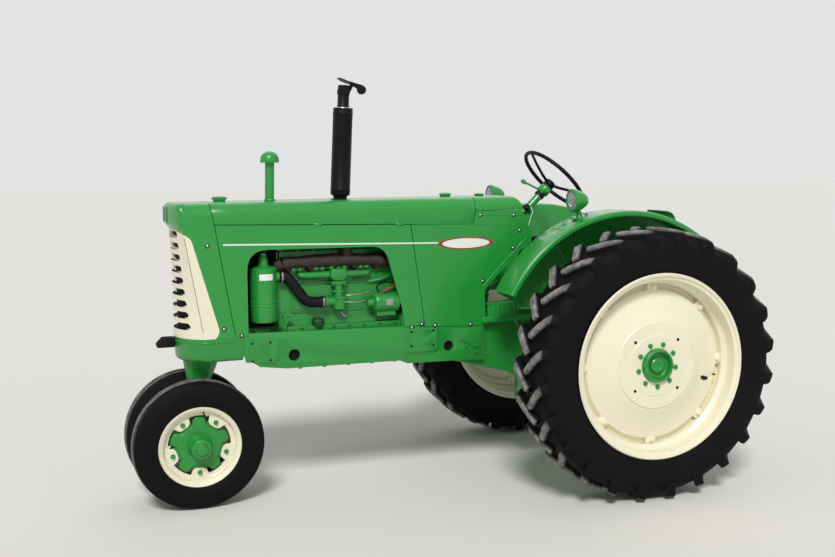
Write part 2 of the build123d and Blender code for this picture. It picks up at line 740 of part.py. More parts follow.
def oil_filter():
    """Upright oil filter can on its stub, at the engine's right side."""
    x = OIL_FILTER_X
    y = OIL_FILTER_Y
    z = OIL_FILTER_LOW_Z
    can = rod((x, y, z), (x, y, z + 140), OIL_FILTER_R)
    foot = rod((x, y, z - 10), (x, y, z), OIL_FILTER_R - 12)
    stub = rod((x, y, z + 75), (x, -BLOCK_HALF_W, z + 75), 20)
    return can + foot + stub


# Radiator and fan


def radiator():
    """Radiator core between its tanks, behind the grille."""
    half = RADIATOR_HALF_W
    core_x = RADIATOR_CORE_T / 2
    tank_x = RADIATOR_TANK_T / 2
    core = block(RADIATOR_X - core_x, RADIATOR_X + core_x, -half, half, RADIATOR_LOW_Z, RADIATOR_TOP_Z)
    tank_y = half + 5
    rear = RADIATOR_X - tank_x
    front = RADIATOR_X + tank_x
    top_tank = block(rear, front, -tank_y, tank_y, RADIATOR_TOP_Z, RADIATOR_TOP_Z + 90)
    low_tank = block(rear + 5, front - 5, -tank_y, tank_y, SUPPORT_TOP_Z, RADIATOR_LOW_Z)
    neck = rod((FILLER_X, 0, RADIATOR_TOP_Z + 85), (FILLER_X, 0, HOOD_TOP_Z + 16), 26)
    cap = rod((FILLER_X, 0, HOOD_TOP_Z + 16), (FILLER_X, 0, HOOD_TOP_Z + 29), 38)
    return core + top_tank + low_tank + neck + cap


def fan():
    """Four-blade fan and its hub, turning about X."""
    hub = rod((FAN_X - 24, 0, FAN_Z), (FAN_X + 18, 0, FAN_Z), 44)
    shaft = rod((FAN_X - 43, 0, FAN_Z), (FAN_X - 22, 0, FAN_Z), FAN_SHAFT_R)
    blades = []
    for index in range(4):
        blade = Pos(FAN_X, 0, 0) * Rot(0, 0, 28) * Pos(0, 0, 108) * Box(3, 74, 150)
        blades.append(Pos(0, 0, FAN_Z) * Rot(index * 90, 0, 0) * blade)
    return hub + shaft + blades


# Bodywork


def hood_section(inset):
    """Hood outline in Y and Z, set in by a wall, open below the lowest seam."""
    half = HOOD_HALF_W - inset
    top = HOOD_TOP_Z - inset
    corner = HOOD_CORNER_R - inset
    lines = [
        Line((-half, 900), (-half, top - corner)),
        RadiusArc((-half, top - corner), (-half + corner, top), corner),
        Line((-half + corner, top), (half - corner, top)),
        RadiusArc((half - corner, top), (half, top - corner), corner),
        Line((half, top - corner), (half, 900)),
        Line((half, 900), (-half, 900)),
    ]
    return make_face(Curve() + lines)


def hood_shell(x_low, x_high):
    """Sheet-metal arch between two X planes, down to the frame."""
    outer = Pos(x_low, 0, 0) * (Plane.YZ * extrude(hood_section(0), x_high - x_low))
    inner = Pos(x_low - 1, 0, 0) * (Plane.YZ * extrude(hood_section(SHEET), x_high - x_low + 2))
    return outer - inner


def region(points):
    """Part of the machine inside an outline in X and Z, at both sides."""
    return side_plate(points, -400, 400)


def nose_seam_x(z):
    """Place of the seam between nose and hood at a height."""
    slope = (HOOD_FRONT_X - NOSE_SEAM_LOW_X) / (HOOD_TOP_Z - NOSE_LOW_Z)
    return NOSE_SEAM_LOW_X + slope * (z - NOSE_LOW_Z)


# Where the hinge line ends at the nose
BELT_END_X = nose_seam_x(belt_z(HOOD_FRONT_X))


def belt_point(x, raise_by):
    """Point beside the hinge line, over or under it."""
    return (x, belt_z(x) + raise_by)


def hood_top():
    """Top of the hood, down to the hinge line, with holes for both stacks."""
    gap = SEAM_GAP
    cut = region([
        (COWL_TOP_FRONT_X + gap, 1800), (COWL_TOP_FRONT_X + gap, COWL_TOP_LOW_Z),
        belt_point(COWL_TOP_FRONT_X + 20, gap), belt_point(BELT_END_X, gap), (nose_seam_x(1800) - gap, 1800),
    ])
    holes = [
        Pos(stack_point(HOOD_TOP_Z)[0], 0, HOOD_TOP_Z) * Cylinder(48, 80),
        Pos(STACK_X - 2, 0, HOOD_TOP_Z) * Cylinder(34, 80),
        Pos(FILLER_X, 0, HOOD_TOP_Z) * Cylinder(30, 80),
    ]
    fuel_cap = rod((852, 0, HOOD_TOP_Z - 1), (852, 0, 1690), 34)
    return (hood_shell(COWL_TOP_FRONT_X, HOOD_FRONT_X) & cut) - holes + fuel_cap


# Edge of the opening in an engine panel, as (X, Z)
PANEL_OPENING = [
    (BLOCK_REAR_X - 4, 900), (BLOCK_REAR_X + 10, 1050), (BLOCK_REAR_X + 90, 1330), (BLOCK_REAR_X + 130, 1385),
    (BLOCK_REAR_X + 186, 1399), (BLOCK_FRONT_X + 87, 1408), (BLOCK_FRONT_X + 170, 1370),
    (BLOCK_FRONT_X + 208, 1330), (BLOCK_FRONT_X + 210, 900),
]


def engine_panel():
    """Left side panel beside the engine, with its large opening."""
    gap = SEAM_GAP
    outline = [
        (PANEL_SEAM_LOW_X + gap, PANEL_LOW_Z - 15), belt_point(PANEL_SEAM_TOP_X + gap, -gap),
        belt_point(BELT_END_X, -gap), (nose_seam_x(PANEL_LOW_Z) - gap, PANEL_LOW_Z),
    ]
    panel = side_plate(outline, HOOD_HALF_W - SHEET, HOOD_HALF_W)
    return panel - side_plate(PANEL_OPENING, HOOD_HALF_W - 40, HOOD_HALF_W + 40)


def cowl_panel():
    """Left panel of the cowl, from the engine panel back to the driver's place."""
    gap = SEAM_GAP
    top = COWL_TOP_LOW_Z - 2
    foot = COWL_FOOT_X
    outline = [
        (PANEL_SEAM_LOW_X - gap, PANEL_LOW_Z - 15), belt_point(PANEL_SEAM_TOP_X - gap, -gap),
        belt_point(COWL_TOP_FRONT_X + 20 - 2 * gap, -gap), (COWL_TOP_FRONT_X - gap, top), (COWL_REAR_X, top),
        (COWL_REAR_X - 68, 1431), (foot - 4, 1131), (foot - 3, PANEL_LOW_Z - 30),
    ]
    return side_plate(outline, HOOD_HALF_W - SHEET, HOOD_HALF_W)


def cowl_top():
    """Cover over the fuel tank and instruments at the hood's rear."""
    low = COWL_TOP_LOW_Z - 2 + SEAM_GAP
    above = HOOD_TOP_Z + 132
    front = COWL_TOP_FRONT_X
    cut = region([(HOOD_REAR_X - 2, above), (COWL_REAR_X, low), (front, low), (front, above)])
    cap = rod((632, 0, HOOD_TOP_Z - 1), (632, 0, 1684), 30)
    return (hood_shell(COWL_REAR_X, COWL_TOP_FRONT_X) & cut) + cap


def dash_panel():
    """Closing panel behind the cowl that carries instruments and column."""
    half = HOOD_HALF_W - SHEET
    top = COWL_TOP_LOW_Z - 4
    rear = COWL_REAR_X
    foot = COWL_FOOT_X
    low = GEARBOX_TOP_Z
    outline = [(rear, top), (rear + 18, top), (rear - 50, 1434), (foot + 12, low + 136), (foot + 12, low),
               (foot, low), (foot, low + 130), (rear - 64, 1430)]
    column_hole = rod(steering_axis_point(500), steering_axis_point(0), STEER_COLUMN_R + SEAT_GAP)
    return side_plate(outline, -half, half) - column_hole


def nose_plan(z, inset, back=NOSE_BACK_X + 10, shape_z=None):
    """Plan outline of the nose at a height: straight sides and a round front."""
    half = HOOD_HALF_W - inset
    share = ((z if shape_z is None else shape_z) - NOSE_LOW_Z) / (BELT_FRONT_Z + 8 - NOSE_LOW_Z)
    crease = NOSE_CREASE_LOW_X + share * (NOSE_CREASE_TOP_X - NOSE_CREASE_LOW_X)
    front = NOSE_FRONT_X - inset
    lines = [
        Line((back, half), (crease, half)),
        ThreePointArc((crease, half), (front, 0), (crease, -half)),
        Line((crease, -half), (back, -half)),
        Line((back, -half), (back, half)),
    ]
    return Pos(0, 0, z) * make_face(Curve() + lines)


def nose_form(inset, low, high):
    """Solid of the nose between two heights, set in by a wall."""
    return loft([nose_plan(low, inset), nose_plan(high, inset)], ruled=True)


# Height where the upright nose meets its rounded top, and a plane ahead of it all
NOSE_SPLIT_Z = 1560
NOSE_BEYOND_X = NOSE_FRONT_X + 234

# Edge of the grille on the nose's side, as (X, Z)
GRILLE_OUTLINE = [
    (NOSE_BEYOND_X, NOSE_SPLIT_Z - 4), (NOSE_FRONT_X + 43, NOSE_SPLIT_Z - 4),
    (NOSE_FRONT_X - 46, NOSE_SPLIT_Z - 60), (NOSE_FRONT_X - 72, NOSE_SPLIT_Z - 82),
    (NOSE_FRONT_X - 210, NOSE_LOW_Z + 45), (NOSE_FRONT_X - 204, NOSE_LOW_Z + 20),
    (NOSE_FRONT_X - 186, NOSE_LOW_Z), (NOSE_BEYOND_X, NOSE_LOW_Z),
]


def grille():
    """Cream grille that wraps the nose, with its column of rolled slots."""
    inner = nose_form(GRILLE_SHEET, NOSE_LOW_Z - 10, NOSE_SPLIT_Z + 50)
    shell = nose_form(0, NOSE_LOW_Z, NOSE_SPLIT_Z + 40) - inner
    skin = shell & region(GRILLE_OUTLINE)
    slots = []
    for index in range(GRILLE_SLOTS):
        z = GRILLE_SLOT_TOP_Z - index * GRILLE_SLOT_PITCH
        share = index / (GRILLE_SLOTS - 1)
        half = GRILLE_SLOT_TOP_HALF + (GRILLE_SLOT_LOW_HALF - GRILLE_SLOT_TOP_HALF) * share
        slot = Plane.YZ * extrude(SlotOverall(2 * half, GRILLE_SLOT_H), 400)
        slots.append(Pos(NOSE_FRONT_X - 166, 0, z) * slot)
    return skin - slots


def nose_shell():
    """Green nose with its overhanging cap and the sides behind the grille."""
    gap = SEAM_GAP
    body = nose_form(0, NOSE_LOW_Z, NOSE_SPLIT_Z + 40) - nose_form(SHEET, NOSE_LOW_Z - 10, NOSE_SPLIT_Z + 50)
    sides = body & region([(nose_seam_x(z) + gap, z) for z in (NOSE_LOW_Z, NOSE_SPLIT_Z)] + [
        (NOSE_BEYOND_X, NOSE_SPLIT_Z), (NOSE_BEYOND_X, NOSE_LOW_Z)])
    sides = sides - side_plate(GRILLE_OUTLINE, -400, 400)
    crown = hood_cap(0) - hood_cap(SHEET)
    crown = crown & region([(nose_seam_x(z) + gap, z) for z in (NOSE_SPLIT_Z, 1800)] + [
        (NOSE_BEYOND_X, 1800), (NOSE_BEYOND_X, NOSE_SPLIT_Z)])
    return sides + crown


def hood_cap(inset):
    """Rounded top of the nose, over the grille."""
    front = NOSE_CAP_FRONT_X - inset
    half = HOOD_HALF_W - inset
    back = NOSE_BACK_X
    crease = NOSE_CAP_CREASE_X
    plan = Curve() + [
        Line((back, half), (crease, half)),
        ThreePointArc((crease, half), (front, 0), (crease, -half)),
        Line((crease, -half), (back, -half)),
        Line((back, -half), (back, half)),
    ]
    prism = Pos(0, 0, NOSE_SPLIT_Z - 60) * extrude(make_face(plan), HOOD_TOP_Z - NOSE_SPLIT_Z + 100)
    arch = Plane.YZ * extrude(hood_section(inset - CAP_EASE), NOSE_BEYOND_X - back)
    arch = Pos(back, 0, 0) * arch
    return prism & arch


# Driveline


def gearbox_housing():
    """Clutch and gearbox housing between engine and rear axle."""
    half = GEARBOX_HALF_W
    rear = GEARBOX_REAR_X
    top = GEARBOX_TOP_Z
    low = GEARBOX_LOW_Z
    outline = [(BLOCK_REAR_X, low + 200), (BLOCK_REAR_X, top), (BLOCK_REAR_X - 50, top + 40), (800, top + 40),
               (760, top), (rear, top), (rear, low), (rear + 70, low), (528, 622), (913, 724),
               (BLOCK_REAR_X - 100, low + 185)]
    return side_plate(outline, -half, half)


def rear_housing():
    """Housing of the differential and hydraulic lift."""
    half = REAR_HOUSING_HALF_W
    front = GEARBOX_REAR_X
    top = REAR_HOUSING_TOP_Z
    outline = [(front, GEARBOX_TOP_Z), (front - 30, top), (-120, top), (-250, top - 40), (-262, PTO_Z - 20),
               (-200, 540), (150, 500), (front - 80, GEARBOX_LOW_Z), (front, GEARBOX_LOW_Z)]
    body = side_plate(outline, -half, half)
    lift = side_plate([(200, top - 10), (190, top + 60), (-200, top + 60), (-200, top - 20)], -130, 130)
    seat = rod((-240, 0, PTO_Z), (-300, 0, PTO_Z), 62)
    bore = Pos(-290, 0, PTO_Z) * Rot(0, 90, 0) * Cylinder(PTO_COLLAR_R + SEAT_GAP, 60)
    return body + lift + seat - bore


def axle_housing():
    """Left trumpet of the rear axle."""
    start = REAR_HOUSING_HALF_W
    bore_r = AXLE_R + RUNNING_GAP
    end = AXLE_HOUSING_END_Y
    outline = [(start, 128), (start + 30, 128), (start + 60, 112), (end - 60, 74), (end - 30, 92), (end, 92),
               (end, bore_r), (start, bore_r)]
    trumpet = Pos(0, 0, BODY_AXLE_Z) * Rot(0, 0, 90) * turned(outline)
    pad = block(-60, 60, FENDER_INNER_Y - 40, FENDER_INNER_Y + 60, FENDER_SEAT_Z - 46, FENDER_SEAT_Z)
    shaft_space = Pos(0, 0, BODY_AXLE_Z) * Rot(90, 0, 0) * Cylinder(bore_r, REAR_TREAD)
    return trumpet + pad - shaft_space


def pto_shaft():
    """Power take-off shaft that stands out of the rear housing."""
    shoulder = PTO_END_X + PTO_SPLINE_LENGTH
    collar = rod((-262.3, 0, PTO_Z), (shoulder, 0, PTO_Z), PTO_COLLAR_R)
    return collar + rod((shoulder + 10, 0, PTO_Z), (PTO_END_X, 0, PTO_Z), PTO_R)


# Drawbar


def drawbar():
    """Swinging drawbar with its hitch hole."""
    half = DRAWBAR_W / 2
    low = DRAWBAR_Z - DRAWBAR_T / 2
    front = DRAWBAR_PIN_X + 45
    outline = [(front, -half), (front, half), (DRAWBAR_END_X, half), (DRAWBAR_END_X, -half)]
    bar = flat_plate(outline, low, low + DRAWBAR_T, 14)
    hitch = Pos(DRAWBAR_END_X + 50, 0, DRAWBAR_Z) * Cylinder(DRAWBAR_HOLE_R, 60)
    pivot = Pos(DRAWBAR_PIN_X, 0, DRAWBAR_Z) * Cylinder(18 + RUNNING_GAP, 60)
    return bar - hitch - pivot


def drawbar_hanger():
    """Front pin bracket and rear cross support of the drawbar."""
    top = DRAWBAR_Z + DRAWBAR_T / 2 + 2
    low = DRAWBAR_Z - DRAWBAR_T / 2 - 2
    front = block(DRAWBAR_PIN_X - 45, DRAWBAR_PIN_X + 40, -55, 55, top, 560)
    pin = rod((DRAWBAR_PIN_X, 0, low - 14), (DRAWBAR_PIN_X, 0, top + 1), 18)
    washer = rod((DRAWBAR_PIN_X, 0, low - 14), (DRAWBAR_PIN_X, 0, low), 34)
    rear = HANGER_X - 30
    ahead = HANGER_X + 30
    reach = HANGER_HALF_W
    quadrant = block(rear, ahead, -reach, reach, low - 16, low)
    over = block(rear, ahead, -reach, reach, top, top + 14)
    arm_y = REAR_HOUSING_HALF_W + SEAT_GAP + HANGER_ARM_T / 2
    arms = []
    for side in (1, -1):
        arms.append(block(rear, ahead, side * reach - 12, side * reach + 12, low - 16, top + 14))
        outline = [(rear, top), (ahead, top), (-150, 680), (-250, 680)]
        arms.append(side_plate(outline, side * arm_y - HANGER_ARM_T / 2, side * arm_y + HANGER_ARM_T / 2))
    return front + pin + washer, quadrant + over + arms


# Driver's place


def fender():
    """Left fender: an inner wall and a crowned top that follow the tyre."""
    thickness = FENDER_SHEET

    def arc_ring(radius_in, radius_out, y_low, y_high):
        ring = Pos(0, (y_low + y_high) / 2, BODY_AXLE_Z) * Rot(90, 0, 0) * (
            Cylinder(radius_out, y_high - y_low) - Cylinder(radius_in, y_high - y_low + 2))
        return ring

    crown = arc_ring(FENDER_R - thickness, FENDER_R, FENDER_INNER_Y, FENDER_OUTER_Y)
    lip = arc_ring(FENDER_R - 28, FENDER_R, FENDER_OUTER_Y - thickness, FENDER_OUTER_Y)
    wall = arc_ring(FENDER_LOW_Z - BODY_AXLE_Z + 15, FENDER_R, FENDER_INNER_Y, FENDER_INNER_Y + thickness)
    reach = 2 * FENDER_R
    angles = (FENDER_FROM_DEG, 90, FENDER_TO_DEG)
    wedge = [(0, 0)] + [(reach * cos_deg(angle), reach * sin_deg(angle)) for angle in angles]
    keep = Pos(0, 0, BODY_AXLE_Z) * side_plate(wedge, 0, FENDER_OUTER_Y + 100)
    chop = block(-reach, reach, 0, FENDER_OUTER_Y + 100, 0, FENDER_LOW_Z)
    foot = block(-60, 60, FENDER_INNER_Y, FENDER_INNER_Y + thickness, FENDER_SEAT_Z, FENDER_LOW_Z + 60)
    return ((crown + lip + wall) & keep) - chop + foot


def headlamp(side):
    """Lamp shell on its bracket over the fender's front."""
    y = LAMP_Y * side
    x = LAMP_X
    z = LAMP_Z
    outside = Polyline((12, 0), (12, 60), (8, LAMP_R), (-6, LAMP_R), (-10, LAMP_R - 4), (-50, LAMP_R - 14),
                       (-84, 30), (-92, 0), close=True)
    inside = Polyline((13, 0), (13, LAMP_LENS_R + 1), (4, LAMP_LENS_R + 1), (-30, 36), (-30, 0), close=True)
    shell = Pos(x, y, z) * revolve(make_face(outside), Axis.X)
    bowl = Pos(x, y, z) * revolve(make_face(inside), Axis.X)
    foot_z = BODY_AXLE_Z + math.sqrt(FENDER_R**2 - (x - 39) ** 2) + SEAT_GAP
    post = rod((x - 30, y, foot_z), (x - 30, y, z - 50), 9)
    return shell - bowl + post


def headlamp_lens(side):
    """Domed lens in the lamp's rim."""
    profile = Polyline((4.5, 0), (4.5, LAMP_LENS_R), (12, LAMP_LENS_R), (16, 30), (18, 0), close=True)
    return Pos(LAMP_X, LAMP_Y * side, LAMP_Z) * revolve(make_face(profile), Axis.X)


def steering_axis_point(along):
    """Point on the steering column's line, from the wheel's centre downwards."""
    x = STEER_WHEEL_X + along * sin_deg(STEER_TILT_DEG)
    return (x, 0, STEER_WHEEL_Z - along * cos_deg(STEER_TILT_DEG))


def steering_wheel():
    """Three-spoke steering wheel with a dished hub."""
    rim = Torus(STEER_WHEEL_R, STEER_RIM_R)
    hub = Pos(0, 0, -STEER_DISH) * Cylinder(34, 34)
    spokes = []
    for index in range(3):
        turn = index * 120 + 90
        end = (STEER_WHEEL_R * cos_deg(turn), STEER_WHEEL_R * sin_deg(turn), 0)
        spokes.append(rod((0, 0, -STEER_DISH + 4), end, 9, 8))
    stem = Cylinder(STEER_STEM_R, 30, align=(Align.CENTER, Align.CENTER, Align.MAX))
    wheel = rim + hub + spokes + Pos(0, 0, -STEER_DISH - 17) * stem
    return Pos(STEER_WHEEL_X, 0, STEER_WHEEL_Z) * Rot(0, -STEER_TILT_DEG, 0) * wheel


def steering_column():
    """Column tube from the dash to the steering wheel."""
    top = steering_axis_point(STEER_DISH + 19)
    base = steering_axis_point(420)
    bore = rod(steering_axis_point(STEER_DISH + 60), steering_axis_point(0), STEER_STEM_R + RUNNING_GAP)
    return rod(base, top, STEER_COLUMN_R) - bore


def seat_frame():
    """Green seat shell on its spring support."""
    pan_top = SEAT_PAN_Z + SEAT_PAN_T
    pan = block(SEAT_REAR_X, SEAT_FRONT_X, -215, 215, SEAT_PAN_Z, pan_top)
    rear = SEAT_REAR_X
    top = SEAT_PAN_Z + 322
    back_outline = [(rear + 40, pan_top), (rear, SEAT_PAN_Z), (rear - 60, top - 27), (rear, top),
                    (rear + 30, top - 12), (rear - 15, top - 42)]
    back = side_plate(back_outline, -200, 200)
    foot_z = REAR_HOUSING_TOP_Z + 60
    post_top = SEAT_PAN_Z + 1
    front = SEAT_FRONT_X
    post_outline = [(front + 200, foot_z), (front + 110, foot_z), (front - 130, post_top),
                    (front - 30, post_top)]
    post = side_plate(post_outline, -60, 60)
    return pan + back + post


def seat_cushion():
    """Seat pad."""
    front = SEAT_FRONT_X - 2
    rear = SEAT_REAR_X + 55
    outline = [(front, -205), (front, 205), (rear, 205), (rear, -205)]
    return flat_plate(outline, SEAT_PAN_Z + SEAT_PAN_T, SEAT_PAD_TOP_Z, 40)


def platform():
    """Left half of the driver's platform with its side rail."""
    z = PLATFORM_Z
    rear = PLATFORM_REAR_X
    front = COWL_FOOT_X + 20
    inner = GEARBOX_HALF_W + 40
    rail = side_plate([(rear, z - 10), (front, z - 2), (front, z + 32), (rear, z + 24)], inner, inner + 15)
    plate = block(rear, rear + PLATFORM_LENGTH, inner + 1, FENDER_INNER_Y - 6, z, z + 6)
    straps = []
    for x in (rear + PLATFORM_LENGTH - 40, front - 100):
        straps.append(block(x, x + 40, GEARBOX_HALF_W, inner + 1, z, z + 12))
    return rail + plate + straps


def rain_cap():
    """Hinged cap over the tail pipe with its counterweight."""
    x, _, z = stack_point(TAIL_PIPE_TOP_Z)
    hinge_x, _, hinge_z = rain_cap_hinge()
    disc = Pos(x + 2, 0, z + 6) * Cylinder(38, 4)
    arm = block(hinge_x - 46, x, -6, 6, hinge_z - 7, hinge_z + 7)
    weight = rod((hinge_x - 66, -12, z + 2), (hinge_x - 66, 12, z + 2), 26)
    hole = rod((hinge_x, -20, hinge_z), (hinge_x, 20, hinge_z), RAIN_CAP_PIN_R + SEAT_GAP)
    cap = disc + arm + weight - hole
    return Pos(hinge_x, 0, hinge_z) * Rot(0, -RAIN_CAP_OPEN_DEG, 0) * Pos(-hinge_x, 0, -hinge_z) * cap


def rain_cap_hinge():
    """Centre of the rain cap's hinge pin."""
    x, _, z = stack_point(TAIL_PIPE_TOP_Z)
    return (x - TAIL_PIPE_R - 14, 0, z + 8)


def muffler():
    """Upright muffler with its outlet pipe and clamp ring."""
    base = stack_point(HOOD_TOP_Z - 20)
    low = stack_point(MUFFLER_LOW_Z)
    top = stack_point(MUFFLER_TOP_Z)
    tip = stack_point(TAIL_PIPE_TOP_Z)
    neck = rod(base, low, 38)
    can = rod(low, top, MUFFLER_R)
    collar = rod(top, stack_point(MUFFLER_TOP_Z + 14), MUFFLER_R + 3)
    bore = rod(stack_point(MUFFLER_TOP_Z + 40), stack_point(TAIL_PIPE_TOP_Z + 10), TAIL_PIPE_R - 3)
    pipe = rod(top, tip, TAIL_PIPE_R) - bore
    hinge = rain_cap_hinge()
    ears = []
    for side in (1, -1):
        outline = [(tip[0] - TAIL_PIPE_R + 4, tip[2] - 46), (tip[0] - TAIL_PIPE_R + 2, tip[2] - 8),
                   (hinge[0] + 6, hinge[2] + 6), (hinge[0] - 7, hinge[2] + 6), (hinge[0] - 7, hinge[2] - 7)]
        ears.append(side_plate(outline, side * 9 - 2, side * 9 + 2))
    pin = rod((hinge[0], -14, hinge[2]), (hinge[0], 14, hinge[2]), RAIN_CAP_PIN_R)
    return neck + can + collar + pipe + ears + pin


def tow_bracket():
    """Hitch bracket on the front of the support casting."""
    face = NOSE_FRONT_X + SEAT_GAP
    tip = NOSE_FRONT_X + 96
    low = SUPPORT_TOP_Z - 59.7
    outline = [(face, low), (tip, low), (tip, low + 22), (tip - 32, low + 54), (face, low + 54)]
    ears = side_plate(outline, -30, -22) + side_plate(outline, 22, 30)
    return ears + block(face, face + 12, -30, 30, low, low + 54)


def pedals():
    """Clutch and brake pedals with their arms."""
    solids = []
    for side in (1, -1):
        y = side * PEDAL_Y
        arm = bent_rod([(PEDAL_PIVOT_X, y, PEDAL_PIVOT_Z), (540, y, 1010), (450, y, 1110)], 11, 40)
        pad = Pos(446, y, 1116) * Rot(0, 35, 0) * Box(60, 80, 8)
        pivot = rod((PEDAL_PIVOT_X, side * GEARBOX_HALF_W, PEDAL_PIVOT_Z),
                    (PEDAL_PIVOT_X, side * (PEDAL_Y + 15), PEDAL_PIVOT_Z), 16)
        solids.append(arm + pad + pivot)
    return solids


def levers():
    """Hand levers beside the column."""
    low = GEARBOX_TOP_Z
    knob = (290, 60, 1400)
    shift = bent_rod([(420, 0, low), (420, 0, low + 70), (330, 10, 1250), knob], 9, 50)
    shift_knob = Pos(*knob) * Sphere(22)
    low = REAR_HOUSING_TOP_Z
    knob = (80, 175, 1390)
    lift = bent_rod([(60, 165, low), (60, 165, low + 70), (120, 172, 1280), knob], 9, 30)
    lift_knob = Pos(*knob) * Sphere(20)
    return [shift + shift_knob, lift + lift_knob]


def save(name, *solids):
    """Write one named piece, shifted to the machine's own origin."""
    shape = solids[0] if len(solids) == 1 else Compound(children=list(solids))
    placed = Pos(REAR_AXLE_X, 0, 0) * shape
    export_step(placed, f"parts/{name}.step")


def save_body(name, *solids):
    """Write a piece of the body, at the height that the rear tyres give it."""
    save(name, *[Pos(0, 0, BODY_LIFT) * solid for solid in solids])


def main():
    """Build and write every piece."""
    tyre = on_rear_axle(rear_tyre())
    rim = on_rear_axle(rear_rim())
    hub = on_rear_axle(rear_hub())
    for name, solid in (("rear_tyre", tyre), ("rear_rim", rim), ("rear_hub", hub)):
        save(f"{name}_left", solid)
        save(f"{name}_right", mirrored(solid))
    for name, solid in (("front_tyre", front_tyre()), ("front_rim", front_rim()), ("front_hub", front_hub())):
        placed = on_front_axle(solid)
        save(f"{name}_left", placed)
        save(f"{name}_right", mirrored(placed))
    save("steering_spindle", bolster())
    save_body("front_support", front_support())
    rail = frame_rail()
    save_body("frame_rails", rail, mirrored(rail))
    save_body("engine", engine_block())
    save_body("exhaust_manifold", exhaust_manifold())
    save_body("intake_manifold", intake_manifold())
    save_body("carburettor", carburettor())
    save_body("air_cleaner", air_cleaner())
    save_body("air_duct", air_hose())
    save_body("intake_stack", intake_stack())
    save_body("generator", generator())
    save_body("starter_motor", starter())
    save_body("oil_filter", oil_filter())
    save_body("radiator", radiator())
    save_body("fan", fan())
    save_body("hood_top", hood_top())
    for name, solid in (("engine_panel", engine_panel()), ("cowl_panel", cowl_panel()), ("fender", fender()),
                        ("platform", platform()), ("axle_housing", axle_housing())):
        save_body(f"{name}_left", solid)
        save_body(f"{name}_right", mirrored(solid))
    save_body("cowl_top", cowl_top())
    save_body("dash_panel", dash_panel())
    save_body("nose_shell", nose_shell())
    save_body("grille", grille())
    save_body("gearbox_housing", gearbox_housing())
    save_body("rear_housing", rear_housing())
    save_body("pto_shaft", pto_shaft())
    save_body("drawbar", drawbar())
    save_body("drawbar_hanger", *drawbar_hanger())
    save_body("headlamps", headlamp(1), headlamp(-1))
    save_body("headlamp_lenses", headlamp_lens(1), headlamp_lens(-1))
    save_body("steering_wheel", steering_wheel())
    save_body("steering_column", steering_column())
    save_body("seat_frame", seat_frame())
    save_body("seat_cushion", seat_cushion())
    save_body("muffler", muffler())
    save_body("rain_cap", rain_cap())
    save_body("tow_bracket", tow_bracket())
    save_body("pedals", *pedals())
    save_body("levers", *levers())


main()
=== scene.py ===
"""Studio scene of a vintage row-crop tractor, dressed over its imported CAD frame.

Lengths are in millimetres, measured from the ground point under the rear
axle (X forwards, Y to the driver's left, Z up), and turned to metres in the
frame's own place when a piece is made.
"""

import logging
import math
from dataclasses import dataclass
from enum import Enum
from typing import Callable, Iterable, Optional, Sequence

import bmesh
import bpy
from mathutils import Matrix, Vector
from mathutils.geometry import delaunay_2d_cdt


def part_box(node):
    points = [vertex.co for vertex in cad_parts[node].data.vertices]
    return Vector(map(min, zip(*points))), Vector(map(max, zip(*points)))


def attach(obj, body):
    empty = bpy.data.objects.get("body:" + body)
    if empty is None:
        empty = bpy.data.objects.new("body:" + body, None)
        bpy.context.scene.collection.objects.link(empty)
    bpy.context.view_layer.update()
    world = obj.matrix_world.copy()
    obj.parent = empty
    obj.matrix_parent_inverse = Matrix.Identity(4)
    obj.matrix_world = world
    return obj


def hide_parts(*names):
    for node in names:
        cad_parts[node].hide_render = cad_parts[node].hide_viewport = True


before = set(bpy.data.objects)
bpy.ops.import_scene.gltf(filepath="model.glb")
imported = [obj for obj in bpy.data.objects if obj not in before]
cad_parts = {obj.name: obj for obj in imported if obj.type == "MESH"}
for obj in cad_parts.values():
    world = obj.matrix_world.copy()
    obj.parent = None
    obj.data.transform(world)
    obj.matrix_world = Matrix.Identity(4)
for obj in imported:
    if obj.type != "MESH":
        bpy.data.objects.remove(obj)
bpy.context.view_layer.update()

LOG = logging.getLogger("tractor")

MM = 0.001
REAR_AXLE_X = -963.0
WHEELBASE = 2376.0
REAR_AXLE_Z = 755.0
REAR_TREAD = 1728.0
FRONT_SPACING = 312.0
CAMBER = math.radians(5.0)
CASTER = math.radians(6.5)
FRONT_AXLE_Z = max(r * math.cos(CAMBER) + s * math.sin(CAMBER) for s, r in ((14, 360), (34, 357), (56, 353)))
BODY_HALF_W = 225.0
HOOD_TOP_Z = 1668.0
SHEET = 4.0

Point = Sequence[float]
Outline = list[tuple[float, float]]


class Side(Enum):
    """The two sides of the machine, as the driver sees them."""

    LEFT = 1
    RIGHT = -1

    @property
    def word(self) -> str:
        """The side's name in the frame's node names."""
        return self.name.lower()

    def out(self, x: float, y: float, z: float) -> Matrix:
        """Placement y millimetres out on this side, whose local Z points outwards."""
        return facing((x, self.value * y, z), (0, self.value, 0))


class Ground(Enum):
    """What a casting or sheet is under its paint, which sets the paint's relief."""

    SHEET = "sheet"
    CAST = "cast"


def linear(hex_colour: str) -> tuple[float, float, float, float]:
    """Turn an sRGB hex colour to linear light.

    Args:
        hex_colour: Six hex digits, red first.

    Returns:
        The linear colour with an alpha of one.
    """
    channels = [int(hex_colour[i:i + 2], 16) / 255 for i in (0, 2, 4)]
    values = [c / 12.92 if c <= 0.04045 else ((c + 0.055) / 1.055) ** 2.4 for c in channels]
    return (values[0], values[1], values[2], 1.0)


def at(x: float, y: float, z: float) -> Vector:
    """Turn a place in millimetres from the rear axle to the frame's metres."""
    return Vector(((x + REAR_AXLE_X) * MM, y * MM, z * MM))


def per_metre(size_mm: float) -> float:
    """Texture scale for a pattern whose cells are this many millimetres wide."""
    return 1000.0 / size_mm


